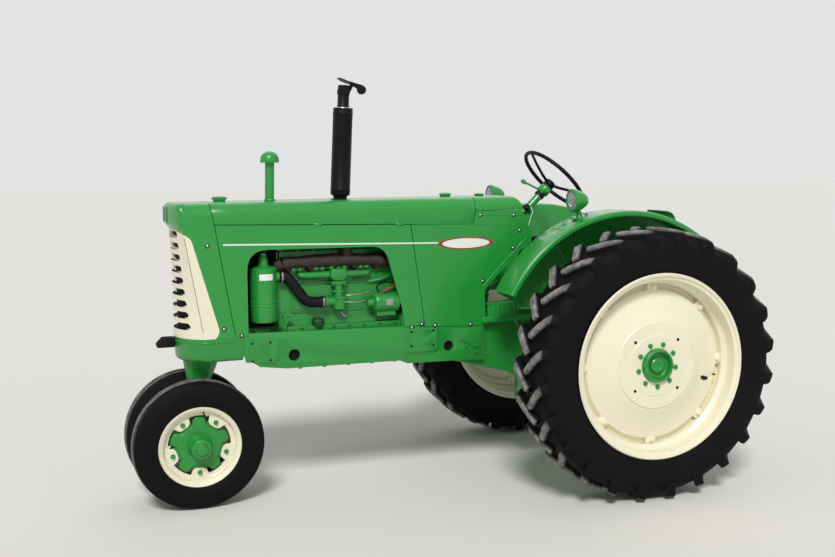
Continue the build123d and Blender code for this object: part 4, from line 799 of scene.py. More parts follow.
@dataclass
class RearWheel:
    """A driven wheel: lugged tyre, drop-centre rim, dished disc with clamps, and hub."""

    side: Side
    tyre_r: float = 755.0
    carcass_r: float = 717.0
    half_w: float = 170.0
    rim_r: float = 508.0
    rim_half_w: float = 162.0
    bead_r: float = 483.0
    lugs: int = 24
    path_deg: float = 42.0
    clamps: int = 8
    bolts: int = 9
    bolt_circle: float = 119.0
    face: float = 109.5

    def place(self) -> Matrix:
        """Placement whose Z axis runs out along the axle."""
        return self.side.out(0.0, REAR_TREAD / 2, REAR_AXLE_Z)

    @property
    def body(self) -> str:
        """The CAD body that the wheel rolls with."""
        return f"rear_wheel_{self.side.word}"

    def lug(self) -> Draft:
        """One lug of the outer row, at the top of the tyre.

        Returns:
            The lug, with the tyre's middle as its origin.
        """
        crown = self.tyre_r
        # Place along the axle, lag in degrees, base and top radius, half width at base and top.
        sections = (
            (-5, 0.0, 706, crown - 1.5, 27, 14), (2, 0.3, 706, crown, 27, 16),
            (40, 2.7, 707, crown, 27, 16.5),
            (78, 5.2, 704, 753.5, 28, 17.5), (112, 7.2, 698, 751, 29, 19), (136, 8.4, 690, 748, 30, 21),
            (152, 9.2, 682, 741, 31, 23), (161, 9.7, 670, 727, 31, 25), (166.5, 10.0, 656, 706, 31, 27),
            (168, 10.2, 646, 672, 31, 29),
        )
        rings = []
        for along, lag, base_r, top_r, base_half, top_half in sections:
            turn = math.radians(lag)
            outwards = Vector((-math.sin(turn), 0, math.cos(turn)))
            round_way = Vector((-math.cos(turn), 0, -math.sin(turn)))
            path = math.radians(self.path_deg if along < 120 else min(30.0, 168.0 - along))
            across = Vector((0, -math.sin(path), 0)) + round_way * math.cos(path)
            foot = Vector((0, along, 0)) + outwards * base_r
            head = Vector((0, along, 0)) + outwards * top_r
            mid = Vector((0, along, 0)) + outwards * (top_r - min(6.0, (top_r - base_r) * 0.3))
            rings.append([foot - across * base_half, foot + across * base_half,
                          mid + across * (top_half + 1.5), head + across * (top_half - 3.5),
                          head - across * (top_half - 3.5), mid - across * (top_half + 1.5)])
        return Draft().loft(rings)

    def tyre(self) -> None:
        """The tyre with both rows of lugs."""
        half, rim = self.half_w, self.rim_r
        bead = self.rim_half_w - 14
        flank = [
            (bead, self.bead_r + 0.5), (bead + 2, rim - 6), (bead + 3, rim + 3), (bead + 10, rim + 12),
            (bead + 12, rim + 22), (half - 6, rim + 34), (half - 4.5, rim + 38), (half - 4.5, rim + 42),
            (half - 3, 560), (half - 0.5, 585), (half, 606), (half - 1, 630), (half - 4, 652),
            (half - 10, 676), (half - 22, 696), (half - 36, 704), (130, 708), (100, 711.5), (60, 715),
            (20, self.carcass_r), (0, self.carcass_r),
        ]
        profile = flank + [(-s, r) for s, r in flank[-2::-1]]
        draft = Draft().lathe(profile, self.place(), 144)
        upright = Matrix.Translation((0, self.side.value * REAR_TREAD / 2, REAR_AXLE_Z))
        lug = self.lug().on(self.side)
        inner = lug.flipped()
        pitch = 2 * math.pi / self.lugs
        for index in range(self.lugs):
            draft.join(lug, upright @ Matrix.Rotation(-index * pitch, 4, "Y"))
            draft.join(inner, upright @ Matrix.Rotation(-(index + 0.5) * pitch, 4, "Y"))
        name = f"rear_tyre_{self.side.word}"
        draft.piece(f"{name}_tread", REAR_RUBBER, (name,), 40, body=self.body)

    def rim(self) -> None:
        """The rim with its dished disc."""
        place = self.place()
        edge, bed, rim = self.rim_half_w, self.bead_r, self.rim_r
        outer = [
            (edge - 3, rim + 1), (edge, rim - 2), (edge - 1, rim - 6), (edge - 8, rim - 9),
            (edge - 11, bed + 8), (edge - 14, bed + 1), (92, bed), (84, bed - 3), (76, bed - 9),
            (70, bed - 20), (62, bed - 26),
        ]
        path = outer + [(-s, r) for s, r in outer[::-1]]
        draft = Draft().lathe(band(path, 7), place, 160)
        face = self.face
        disc = [(24, 452), (30, 440), (33, 430), (40, 423), (60, 412), (94, 268), (97, 262), (99.5, 246),
                (104, 241), (107, 238), (107, 172), (face, 168), (face, 86)]
        draft.lathe(band(disc, -8), place, 160)
        name = f"rear_rim_{self.side.word}"
        draft.piece(f"{name}_wheel", CREAM, (name,), 28, body=self.body)

    def fittings(self) -> None:
        """Clamps at the rim, wheel bolts, flat black discs of painted shade for the disc's holes, and the
        valve.
        """
        place = self.place()
        clamps = Draft()
        foot = rounded([(396, -26), (418, -34), (452, -27), (452, 27), (418, 34), (396, 26)], 8, 3)
        stud_r = 424
        for turn in spins(self.clamps, math.pi / 2):
            spin = place @ turn
            clamps.plate(foot, 30, 56, spin, 3)
            clamps.loft([[(r * (1 - k) + stud_r * k, y * (1 - 0.35 * k), 54 + 14 * k) for r, y in foot]
                         for k in (0.0, 0.45)], spin)
            clamps.bolt(spin @ Matrix.Translation((stud_r, 0, 59)), 24, 15)
        clamps.piece(f"rim_clamps_{self.side.word}", CREAM, smooth_deg=40, body=self.body)
        bolts = Draft()
        for across, up in circle(self.bolt_circle, self.bolts, math.radians(72)):
            bolts.lathe([(0, 13.5), (1.5, 13.5), (2.5, 12.5), (9, 12.2), (11, 10.6), (11, 6.6), (7.5, 6.2),
                         (7.5, 5.6), (12.5, 5.4), (13.5, 4.4), (13.5, 0.1), (0, 0.1)],
                        place @ Matrix.Translation((across, up, 109)), 24)
        bolts.piece(f"wheel_bolts_{self.side.word}", GREEN_CAST, body=self.body)
        # Flat black discs on the disc's face are painted shade that stands for its holes.
        holes = Draft()
        for across, up in circle(190, 4, math.pi / 4):
            spot = place @ Matrix.Translation((across, up, 107.1))
            holes.lathe([(0, 0.1), (0.3, 0.1), (0.3, 9), (0, 9)], spot, 20)
        holes.piece(f"disc_holes_{self.side.word}", BLACK_CORE_AND_SHADE, body=self.body)
        valve = Draft()
        spin = place @ Matrix.Rotation(math.radians(-17), 4, "Z")
        slot = spin @ Matrix.Translation((346, 0, 76.2)) @ Matrix.Rotation(math.radians(13.3), 4, "Y")
        # The flat black plate on the disc is painted shade for the valve's slot.
        valve.plate(rounded([(-30, -9), (4, -14), (28, -3), (28, 11), (-30, 11)], 9, 3), -0.6, 0.5, slot)
        valve.tube([spin @ Vector(p) for p in ((414, 34, 40), (404, 34, 78), (400, 34, 84))], 5.5, 8, 12)
        valve.piece(f"rim_valve_{self.side.word}", BLACK_RUBBER, body=self.body)

    def hub(self) -> None:
        """The axle with its flange and open cup."""
        face = self.face
        profile = [
            (-230, 0.1), (-230, 38), (40, 38), (52, 70), (78, 84), (86, 86), (86, 138), (90, 140), (99, 140),
            (99, 96), (face + 2, 96), (face + 6, 93), (face + 24, 90), (face + 28, 86), (face + 29, 82),
            (face + 27, 78), (face + 20, 75), (face - 2, 70), (face - 8, 64), (face - 8, 44), (face + 8, 41),
            (face + 12, 36), (face + 12, 22), (face + 8, 18), (face + 8, 0.1),
        ]
        name = f"rear_hub_{self.side.word}"
        draft = Draft().lathe(profile, self.place(), 72)
        draft.piece(f"{name}_cup", GREEN_CAST, (name,), 30, body=self.body)

    def build(self) -> None:
        """Build the whole wheel."""
        self.tyre()
        self.rim()
        self.fittings()
        self.hub()


@dataclass
class FrontWheel:
    """One of the twin front wheels, cambered, with its lobed hub."""

    side: Side
    tyre_r: float = 360.0
    half_w: float = 82.0
    rim_r: float = 221.0
    rim_half_w: float = 66.0
    bead_r: float = 203.0
    tabs: int = 5

    def place(self) -> Matrix:
        """Placement whose Z axis runs out along the stub axle and whose X points down.

        Returns:
            The placement matrix.
        """
        out = Vector((0, self.side.value * math.cos(CAMBER), -math.sin(CAMBER)))
        down = Vector((0, -self.side.value * math.sin(CAMBER), -math.cos(CAMBER)))
        across = out.cross(down)
        turn = Matrix((down, across, out)).transposed().to_4x4()
        return Matrix.Translation((WHEELBASE, self.side.value * FRONT_SPACING / 2, FRONT_AXLE_Z)) @ turn

    @property
    def body(self) -> str:
        """The CAD body that the wheel rolls with."""
        return f"front_wheel_{self.side.word}"

    def tyre(self) -> None:
        """Three-rib tyre."""
        crown, bead, half = self.tyre_r, self.rim_half_w - 8, self.half_w
        flank = [
            (bead, self.bead_r + 0.5), (bead + 1, self.rim_r - 4), (bead + 5, self.rim_r + 4), (70, 231),
            (75, 240), (78, 250), (79.5, 258), (81, 260), (81, 264), (80.5, 268), (half, 288),
            (half - 1, 304), (78, 318), (76, 320), (75.5, 324), (71, 336), (65, 345), (61, 350.5),
            (57, 353), (38, 356.5),
            (34, 355), (31, 346), (18, 346.5), (15, crown - 1.5), (12, crown), (0, crown),
        ]
        profile = flank + [(-s, r) for s, r in flank[-2::-1]]
        name = f"front_tyre_{self.side.word}"
        draft = Draft().lathe(profile, self.place(), 128)
        draft.piece(f"{name}_ribs", FRONT_RUBBER, (name,), 34, body=self.body)

    def rim(self) -> None:
        """Rim with its inward tabs."""
        edge, bed, place = self.rim_half_w, self.bead_r, self.place()
        outer = [(edge - 3, self.rim_r + 1), (edge, self.rim_r - 1), (edge - 1, self.rim_r - 5),
                 (edge - 6, bed + 6), (edge - 9, bed + 1), (34, bed - 1), (28, bed - 6), (24, bed - 14),
                 (16, bed - 18)]
        path = outer + [(-s, r) for s, r in outer[::-1]]
        draft = Draft().lathe(band(path, 5), place, 120)
        draft.lathe([(22, 192), (22, 173), (24, 171), (30, 171), (32, 173), (32, 192)], place, 96)
        outline = rounded([(194, -76), (178, -62), (160, -47), (136, -38), (126, -20), (126, 20), (136, 38),
                           (160, 47), (178, 62), (194, 76)], 12, 4)
        for turn in spins(self.tabs):
            draft.plate(outline, 26, 36, place @ turn, 2.5)
        name = f"front_rim_{self.side.word}"
        draft.piece(f"{name}_wheel", CREAM, (name,), 34, body=self.body)

    def hub(self) -> None:
        """Cast hub: five lobes between the tabs, and the bearing boss with its cap."""
        place = self.place()
        draft = Draft()
        draft.lathe([(-62, 24.5), (-62, 52), (-40, 58), (16, 60), (34, 66), (42, 68), (52, 62), (66, 58),
                     (96, 56), (108, 53), (112, 47), (112, 34), (118, 32), (124, 27), (125, 0.1), (96, 0.1),
                     (96, 24.5)], place, 56)
        outline: Outline = []
        # Radius of the plate by the turn from a tab's middle, in degrees.
        shape = ((0, 116), (13, 116), (18, 121), (22, 144), (26, 157), (31, 161), (41, 161), (46, 157),
                 (50, 144), (54, 121), (59, 116))
        for index in range(self.tabs):
            for turn, radius in shape:
                angle = math.radians(index * 72 + turn)
                outline.append((radius * math.cos(angle), radius * math.sin(angle)))
        draft.plate(outline, 10, 35, place, 4)
        arm = rounded([(90, -42), (164, -34), (164, 34), (90, 42)], 10, 3)
        for turn in spins(self.tabs):
            draft.plate(arm, 10, 25.5, place @ turn, 2)
            draft.bolt(place @ turn @ Matrix.Translation((152, 0, 36)), 19, 13)
        for across, up in circle(43, 3, 0.5):
            draft.bolt(place @ Matrix.Translation((across, up, 111.5)), 11, 7, False)
        name = f"front_hub_{self.side.word}"
        draft.piece(f"{name}_casting", GREEN_CAST, (name,), 34, body=self.body)

    def valve(self) -> None:
        """Rubber valve stem near the top of the rim."""
        place = self.place() @ Matrix.Rotation(math.pi - 0.12, 4, "Z")
        path = [place @ Vector(p) for p in ((190, 0, 30), (184, 0, 58), (178, 0, 66))]
        draft = Draft().tube(path, 4.5, 6, 10)
        draft.piece(f"front_valve_{self.side.word}", BLACK_RUBBER, body=self.body)

    def build(self) -> None:
        """Build the whole wheel."""
        self.tyre()
        self.rim()
        self.hub()
        self.valve()


@dataclass
class Nose:
    """Grille, nose shell and its rounded cap."""

    low_z: float = 940.0
    split_z: float = 1560.0
    crease_low_x: float = 2338.0
    crease_top_x: float = 2442.0
    front_x: float = 2466.0
    cap_front_x: float = 2494.0
    cap_crease_x: float = 2448.0
    top_z: float = HOOD_TOP_Z
    seam_low_x: float = 2169.0
    seam_top_x: float = 2288.0
    grille_top_z: float = 1529.0
    plate_z: float = 1608.0
    slots: int = 9
    slot_pitch: float = 62.0
    slot_h: float = 38.0
    slot_top_z: float = 1502.0
    slot_halves: tuple[float, float] = (138.0, 175.0)

    def crease_x(self, z: float) -> float:
        """Where the nose's side turns into its front, at a height."""
        rise = (z - self.low_z) / (self.split_z - self.low_z)
        return self.crease_low_x + (self.crease_top_x - self.crease_low_x) * rise

    def seam_x(self, z: float) -> float:
        """Where the nose meets the hood, at a height."""
        rise = (z - self.low_z) / (self.top_z - self.low_z)
        return self.seam_low_x + (self.seam_top_x - self.seam_low_x) * rise

    def bow(self, sagitta: float) -> float:
        """Radius of an arc across the body whose middle stands this far forward."""
        return (BODY_HALF_W ** 2 + sagitta ** 2) / (2 * sagitta)

    def wrap(self, t: float, z: float) -> Vector:
        """Point of the nose's skin.

        Args:
            t: Place across, in Y over the front, then on backwards along the side.
            z: Height.

        Returns:
            The point, in millimetres from the rear axle.
        """
        crease = self.crease_x(z)
        radius = self.bow(self.front_x - crease)
        if abs(t) <= BODY_HALF_W:
            return Vector((self.front_x - radius + math.sqrt(radius ** 2 - t ** 2), t, z))
        return Vector((crease - abs(t) + BODY_HALF_W, math.copysign(BODY_HALF_W, t), z))

    def across(self, x: float, z: float) -> float:
        """The wrap's t of a side-view point.

        Args:
            x: Place along the machine.
            z: Height.

        Returns:
            The t of that point on the left side.
        """
        crease = self.crease_x(z)
        if x <= crease:
            return BODY_HALF_W + crease - x
        radius = self.bow(self.front_x - crease)
        return math.sqrt(max(radius ** 2 - (x - self.front_x + radius) ** 2, 0.0))

    def grille_edge(self) -> Outline:
        """Left edge of the grille.

        Returns:
            Its points as (t, z), from its top middle to its bottom.
        """
        side = [(2462, 1526.5), (2455, 1522), (2445, 1515.7), (2438, 1511.3), (2420, 1500), (2394, 1478),
                (2256, 985), (2262, 960), (2280, 940)]
        edge = [(self.across(x, z), z) for x, z in side]
        return rounded([(0.0, self.grille_top_z)] + edge, 26, 5, closed=False)

    def skin(self, loops: Sequence[Outline], pitch: float = 22.0) -> Draft:
        """Mesh an area of the nose's skin.

        Args:
            loops: Outer loop, then holes, each as (t, z).
            pitch: Spacing of the points inside the area.

        Returns:
            A draft with the wrapped surface.
        """
        points: list[Vector] = []
        edges: list[tuple[int, int]] = []
        for loop in loops:
            base = len(points)
            fine: Outline = []
            for here, after in zip(loop, loop[1:] + loop[:1]):
                pieces = max(1, int((Vector(after) - Vector(here)).length / pitch))
                fine.extend((here[0] + (after[0] - here[0]) * k / pieces,
                             here[1] + (after[1] - here[1]) * k / pieces) for k in range(pieces))
            points.extend(Vector(p) for p in fine)
            edges.extend((base + i, base + (i + 1) % len(fine)) for i in range(len(fine)))
        low = min(p.y for p in points)
        high = max(p.y for p in points)
        for t in [BODY_HALF_W * k / 10 for k in range(-10, 11)]:
            base = len(points)
            rows = int((high - low) / pitch)
            points.extend(Vector((t, low + (high - low) * k / rows)) for k in range(rows + 1))
            if abs(t) == BODY_HALF_W:
                edges.extend((base + k, base + k + 1) for k in range(rows))
        flat, _, faces, *_ = delaunay_2d_cdt(points, edges, [], 0, 1e-4)
        kept = []
        for face in faces:
            middle = sum((flat[i] for i in face), Vector((0, 0))) / len(face)
            if inside(middle, loops[0]) and not any(inside(middle, hole) for hole in loops[1:]):
                kept.append(tuple(face))
        return Draft().add([self.wrap(p.x, p.y) for p in flat], kept)

    def slot_loop(self, index: int, shrink: float = 0.0) -> Outline:
        """Edge of one slot.

        Args:
            index: Which slot, from the top.
            shrink: How far inside the slot's edge it runs.

        Returns:
            Its points as (t, z).
        """
        z = self.slot_top_z - index * self.slot_pitch
        share = index / (self.slots - 1)
        half = self.slot_halves[0] + (self.slot_halves[1] - self.slot_halves[0]) * share
        end = self.slot_h / 2 - shrink
        straight = half - self.slot_h / 2
        loop: Outline = []
        for side in (1, -1):
            for step in range(9):
                turn = math.pi * (step / 8 - 0.5)
                loop.append((side * (straight + end * math.cos(turn)), z + side * end * math.sin(turn)))
        return loop

    def grille(self) -> None:
        """Cream grille with slots whose edges roll inwards, its dark screen and its creases; the screen's
        black is also painted shade behind the slots.
        """
        edge = self.grille_edge()
        outer = edge + [(-t, z) for t, z in edge[::-1][:-1]]
        slots = [self.slot_loop(i) for i in range(self.slots)]
        draft = self.skin([outer] + slots)
        for index in range(self.slots):
            draft.loft([[self.wrap(t, z) - Vector((depth, 0, 0)) for t, z in self.slot_loop(index, shrink)]
                        for shrink, depth in ((0.0, 0.0), (0.8, 3.5), (3.0, 8.0), (6.5, 12.0), (8.0, 20.0))],
                       caps=False)
        # A screen behind the slots, as a solid black sheet that is also painted shade for the dark inside of
        # the nose.
        columns = [BODY_HALF_W * 0.88 * k / 8 for k in range(-8, 9)]
        heights = [972.0 + 61.0 * k for k in range(10)]
        behind = Vector((26.0, 0, 0))
        screen = Draft().grid([[self.wrap(t, z) - behind for t in columns] for z in heights])
        screen.piece("grille_shade_screen", BLACK_CORE_AND_SHADE, sheet=2.0)
        creases = Draft()
        for side in (-1, 1):
            creases.tube([self.wrap(side * BODY_HALF_W, z) for z in (976, 1160, 1340, 1492)], 1.3, sides=8)
        creases.piece("grille_creases", BLACK_CORE_AND_SHADE)
        draft.piece("grille_face", CREAM, ("grille",), 24, sheet=2.5)

    def shell(self) -> None:
        """Green sides of the nose, the strip over the grille and the rounded cap."""
        edge = self.grille_edge()
        left_seam = [(self.across(self.seam_x(z) + 2, z), z) for z in (self.low_z, self.split_z)]
        outer = [left_seam[1], left_seam[0]] + edge[::-1][:-1] + [(0.0, self.grille_top_z)]
        outer += [(-t, z) for t, z in edge[1:]] + [(-t, z) for t, z in left_seam]
        self.skin([outer]).piece("nose_skin", GREEN_SHEET, ("nose_shell",), 28, sheet=SHEET)
        crown = self.cap_rings()
        cap = Draft().loft(crown, caps=False)
        cap.add(crown[-1], [tuple(range(len(crown[-1])))])
        cap.piece("nose_cap", GREEN_SHEET, (), 30, sheet=SHEET)

    def cap_rings(self) -> list[list[Vector]]:
        """Rings of the cap.

        Returns:
            The rings from its lower edge up, each as an open U closed at the seam.
        """
        half = BODY_HALF_W
        radius = self.bow(self.cap_front_x - self.cap_crease_x)
        centre_x = self.cap_front_x - radius
        plan: list[tuple[float, float, float]] = [(0.0, half, 0.0), (0.55, half, 0.0)]
        corner = 34.0
        straight_x = self.cap_crease_x - corner
        arc_angle = math.asin((half - corner * 0.85) / radius)
        for step in range(7):
            t = step / 6
            a = Vector((straight_x, half))
            b = Vector((self.cap_crease_x + 2, half))
            c = Vector((centre_x + radius * math.cos(arc_angle), radius * math.sin(arc_angle)))
            spot = a * (1 - t) ** 2 + b * 2 * t * (1 - t) + c * t ** 2
            plan.append((spot.x, spot.y, t))
        for step in range(1, 13):
            angle = arc_angle * (1 - step / 12)
            plan.append((centre_x + radius * math.cos(angle), radius * math.sin(angle), 1.0))
        rings = []
        foot = []
        for x, y, front in plan:
            z = self.split_z - 31 * front
            foot.append(Vector((self.wrap(y, z).x + 1 if y < half - 0.5 else x, y, z)))
        foot[0].x = self.seam_x(self.split_z) + 2
        foot[1].x = (foot[0].x + foot[2].x) / 2
        rings.append(foot + [Vector((p.x, -p.y, p.z)) for p in foot[-2::-1]])
        for z in (self.split_z + 2, self.split_z + 12, self.split_z + 36):
            rings.append(self.cap_ring(plan, z))
        for step in range(9):
            rings.append(self.cap_ring(plan, None, math.pi / 2 * step / 8))
        return rings

    def cap_ring(self, plan: Sequence[tuple[float, float, float]], z: Optional[float],
                 turn: float = 0.0) -> list[Vector]:
        """One ring of the cap.

        Args:
            plan: Left half of its outline as (x, y, share of the front).
            z: Height of the ring, or None on the rounding.
            turn: Angle up the rounding.

        Returns:
            The ring's points, left seam to right seam.
        """
        left: list[Vector] = []
        for index, (x, y, front) in enumerate(plan):
            size = 70.0 - 44.0 * front
            inset = size * (1 - math.cos(turn))
            height = z if z is not None else self.top_z - size + size * math.sin(turn)
            if index == 0:
                x = self.seam_x(height) + 2
            elif index == 1:
                x = (self.seam_x(height) + plan[2][0]) / 2
            spot = Vector((x, y))
            normal = Vector((0.0, 1.0))
            if front > 0:
                before = Vector(plan[index - 1][:2]) if index > 2 else Vector((x - 10, y))
                after = Vector(plan[index + 1][:2]) if index + 1 < len(plan) else Vector((x, y - 10))
                along = after - before
                normal = Vector((-along.y, along.x)).normalized() * (1 if along.y < 0 else -1)
                if normal.y < 0:
                    normal = -normal
            spot = spot - normal * inset
            left.append(Vector((spot.x, spot.y, height)))
        return left + [Vector((p.x, -p.y, p.z)) for p in left[-2::-1]]

    def badge(self) -> None:
        """Blank dark plate on the cap's front, in a raised green frame."""
        place = facing((self.cap_front_x - 3.5, 0, self.plate_z), (1, 0, 0))
        rings = []
        for inset, lift in ((0.0, 0.0), (0.0, 5.0), (2.0, 7.0), (6.0, 7.0), (8.0, 5.0), (8.0, 0.0)):
            w, h = 56 - inset, 44 - inset
            outline = rounded(oblong((-w, -h), (w, h)), 11 - inset * 0.7, 4)
            rings.append([(x, y, lift) for x, y in outline])
        surround = Draft().loft(rings, place, caps=False, closed=True)
        surround.piece("front_plate_frame", GREEN_SHEET, smooth_deg=40)
        outline = rounded(oblong((-49, -37), (49, 37)), 6, 3)
        plate = Draft().plate(outline, 0.5, 5.0, place, 1)
        plate.piece("front_plate", OXIDE_PLATE)

    def build(self) -> None:
        """Build the nose."""
        self.grille()
        self.shell()
        self.badge()


@dataclass
class Bodywork:
    """Hood, cowl and side panels with their fasteners, stripe and plate."""

    top_z: float = HOOD_TOP_Z
    corner_r: float = 70.0
    cowl_front_x: float = 750.0
    cowl_rear_x: float = 452.0
    cowl_split_z: float = 1590.0
    gap: float = 2.0
    plate_at: tuple[float, float] = (814.0, 1406.0)
    plate_half: tuple[float, float] = (172.0, 36.0)
    belt: tuple[tuple[float, float], tuple[float, float]] = ((514.0, 1508.0), (2199.0, 1552.0))
    fasteners: tuple[tuple[float, float], ...] = (
        (2309, 1444), (2231, 990), (2136, 950), (1153, 934), (1091, 950), (1009, 938), (787, 930),
        (709, 1180), (514, 1366), (471, 1469), (723, 1566), (509, 1560),
    )

    def belt_z(self, x: float) -> float:
        """Height of the hinge line at a place along the hood."""
        (x0, z0), (x1, z1) = self.belt
        return z0 + (z1 - z0) * (x - x0) / (x1 - x0)

    def arch(self, low_z: Callable[[float], float], rear: Callable[[float], float],
             front: Callable[[float], float], name: str, node: str) -> None:
        """Arched sheet over the machine.

        Args:
            low_z: Height of its lower edge at an x.
            rear: Its rear edge's x at a height.
            front: Its front edge's x at a height.
            name: The piece's name.
            node: The CAD node that it stands for.
        """
        half, top, corner = BODY_HALF_W, self.top_z, self.corner_r
        middle_z = 1550
        # The section's first three heights are shares of its upright wall.
        section: Outline = [(half, 0.0), (half, 0.5), (half, 1.0)]
        section += [(half - corner * (1 - math.cos(t)), top - corner * (1 - math.sin(t)))
                    for t in [math.pi / 2 * k / 10 for k in range(11)]]
        section += [(half - corner - (half - corner) * k / 6, top) for k in range(1, 7)]
        section += [(-y, z) for y, z in section[-2::-1]]
        rings = []
        columns = 14
        for column in range(columns + 1):
            share = column / columns
            ring = []
            for y, z in section:
                height = z
                if z <= 1.0:
                    low = low_z(rear(middle_z) * (1 - share) + front(middle_z) * share)
                    height = low + (top - corner - low) * z
                ring.append(Vector((rear(height) * (1 - share) + front(height) * share, y, height)))
            rings.append(ring)
        Draft().grid(rings).piece(name, GREEN_SHEET, (node,), 28, 1.2, SHEET)

    def tops(self, nose: Nose) -> None:
        """Hood top and cowl top with their filler caps.

        Args:
            nose: The nose that the hood meets.
        """
        gap, split = self.gap, self.cowl_split_z
        round_x, round_z = 60, 79
        self.arch(lambda x: self.belt_z(x) + gap,
                  lambda z: self.cowl_front_x + gap + max(0.0, (split + gap - z) * 0.25),
                  lambda z: nose.seam_x(z) - gap, "hood_top_sheet", "hood_top")
        self.arch(lambda x: split + gap,
                  lambda z: self.cowl_rear_x + round_x * (
                      1 - math.sqrt(max(0.0, 1 - (max(0.0, z - split) / round_z) ** 2))),
                  lambda z: self.cowl_front_x - gap, "cowl_top_sheet", "cowl_top")
        caps = Draft()
        for x, radius, height in ((2196, 40, 30), (852, 36, 22), (632, 30, 16)):
            base = Matrix.Translation((x, 0, self.top_z - 1))
            caps.lathe([(0, 0.1), (0, radius - 6), (height * 0.45, radius - 6), (height * 0.5, radius),
                        (height * 0.85, radius), (height, radius - 5), (height + 2, radius * 0.5),
                        (height + 2, 0.1)], base, 40)
            for turn in spins(6):
                caps.box((radius - 4, -5, height * 0.5), (radius + 2.5, 5, height * 0.85), base @ turn)
        caps.piece("filler_caps", GREEN_SHEET)

    def panel(self, outline: Outline, node: str, side: Side) -> None:
        """Flat side panel with rolled edges.

        Args:
            outline: Its outline from the side, as (x, z).
            node: Name of the CAD node that it stands for, without the side.
            side: Which side it is on.
        """
        points = outline if doubled_area(outline) < 0 else outline[::-1]
        rings = [[(x, y, z) for x, z in points] for y in (BODY_HALF_W - 14, BODY_HALF_W - 1.2)]
        middle = Vector((sum(x for x, _ in points), sum(z for _, z in points))) / len(points)
        draw_in = 0.0015
        rings.append([(x + (middle.x - x) * draw_in, BODY_HALF_W, z + (middle.y - z) * draw_in)
                      for x, z in points])
        draft = Draft().loft(rings, caps=False)
        count = len(points)
        draft.faces.append(tuple(2 * count + i for i in range(count)))
        draft.on(side).piece(f"{node}_sheet_{side.word}", GREEN_SHEET, (f"{node}_{side.word}",), 28,
                             sheet=2.0)

    def sides(self, nose: Nose, side: Side) -> None:
        """Engine panel, cowl panel and their trim on one side.

        Args:
            nose: The nose that the panels meet.
            side: Which side.
        """
        gap, low_z = self.gap, 943.0
        end_x = nose.seam_x(self.belt_z(2288))
        seam_low_x, seam_x = 1073.0, 1153.0
        seam_z = self.belt_z(seam_x) - gap
        corners = [(1196.0, low_z), (1210.0, 1050.0), (1311.0, 1406.0), (1700.0, 1409.0), (2098.0, 1412.0),
                   (2100.0, low_z)]
        opening = corners[:1] + rounded(corners[1:4], 78, 8, False)[:-1]
        opening += rounded(corners[3:], 118, 8, False)[1:]
        engine = [(seam_low_x + gap, low_z), (seam_x + gap, seam_z), (end_x - gap, self.belt_z(end_x) - gap),
                  (nose.seam_x(945) - gap, low_z)] + opening[::-1]
        self.panel(engine, "engine_panel", side)
        cowl = [(seam_low_x - gap, 935.0), (seam_x - gap, seam_z), (770.0 - gap, self.belt_z(770) - gap),
                (self.cowl_front_x - gap, self.cowl_split_z), (self.cowl_rear_x, self.cowl_split_z),
                (384.0, 1431.0), (696.0, 1131.0), (697.0, 918.0)]
        cowl = cowl[:4] + rounded(cowl[3:], 16, 4, False)[1:]
        self.panel(cowl, "cowl_panel", side)
        self.trim(side)

    def trim(self, side: Side) -> None:
        """Stripe, blank oval plate, fasteners and trim lines on one side.

        Args:
            side: Which side.
        """
        sign = side.value
        inner = sign * (BODY_HALF_W - 0.2)
        low, high, stripe_h = (988.0, 1409.0), (2225.0, 1442.0), 8
        outline = [low, high, (high[0], high[1] + stripe_h), (low[0], low[1] + stripe_h)]
        stripe = Draft().slab(outline, inner, sign * (BODY_HALF_W + 0.6))
        stripe.piece(f"hood_stripe_{side.word}", WHITE)
        for radius, name, finish, lift in ((1.0, "plate_border", RED, 0.8),
                                           (0.86, "plate_face", WHITE, 1.4)):
            half_w = self.plate_half[0] * radius
            half_h = self.plate_half[1] * (1 - (1 - radius) * 1.5)
            oval = [(self.plate_at[0] + half_w * x, self.plate_at[1] + half_h * z)
                    for x, z in circle(1.0, 64)]
            draft = Draft().slab(oval, inner, sign * (BODY_HALF_W + lift))
            draft.piece(f"{name}_{side.word}", finish)
        heads = Draft()
        rims = Draft()
        for x, z in self.fasteners:
            spot = side.out(x, BODY_HALF_W - 0.5, z)
            heads.dome(spot, 9.5, 6.5)
            rims.lathe([(0, 9), (0, 13), (1.2, 13), (2, 11.5), (2, 9)], spot, 24)
        heads.piece(f"panel_fasteners_{side.word}", BARE_STEEL)
        rims.piece(f"fastener_washers_{side.word}", BLACK_RUBBER)
        trim = Draft()
        for x in (1219, 1698):
            z = self.belt_z(x)
            trim.box((x - 22, BODY_HALF_W - 2, z - 10), (x + 22, BODY_HALF_W + 2.4, z + 10))
        for path in (((1153, 1527), (900, 1519), (525, 1508)), ((700, 1562), (430, 1556)),
                     ((452, 1476), (420, 1436), (452, 1404), (715, 1147))):
            trim.tube([(x, BODY_HALF_W - 0.6, z) for x, z in path], 2.2, 20, 8)
        trim.on(side).piece(f"panel_trim_{side.word}", GREEN_SHEET, smooth_deg=60)

    def build(self, nose: Nose) -> None:
        """Build the whole of the bodywork.

        Args:
            nose: The nose that it meets.
        """
        self.tops(nose)
        for side in Side:
            self.sides(nose, side)
        softened("dash_panel", GREEN_SHEET, 2)


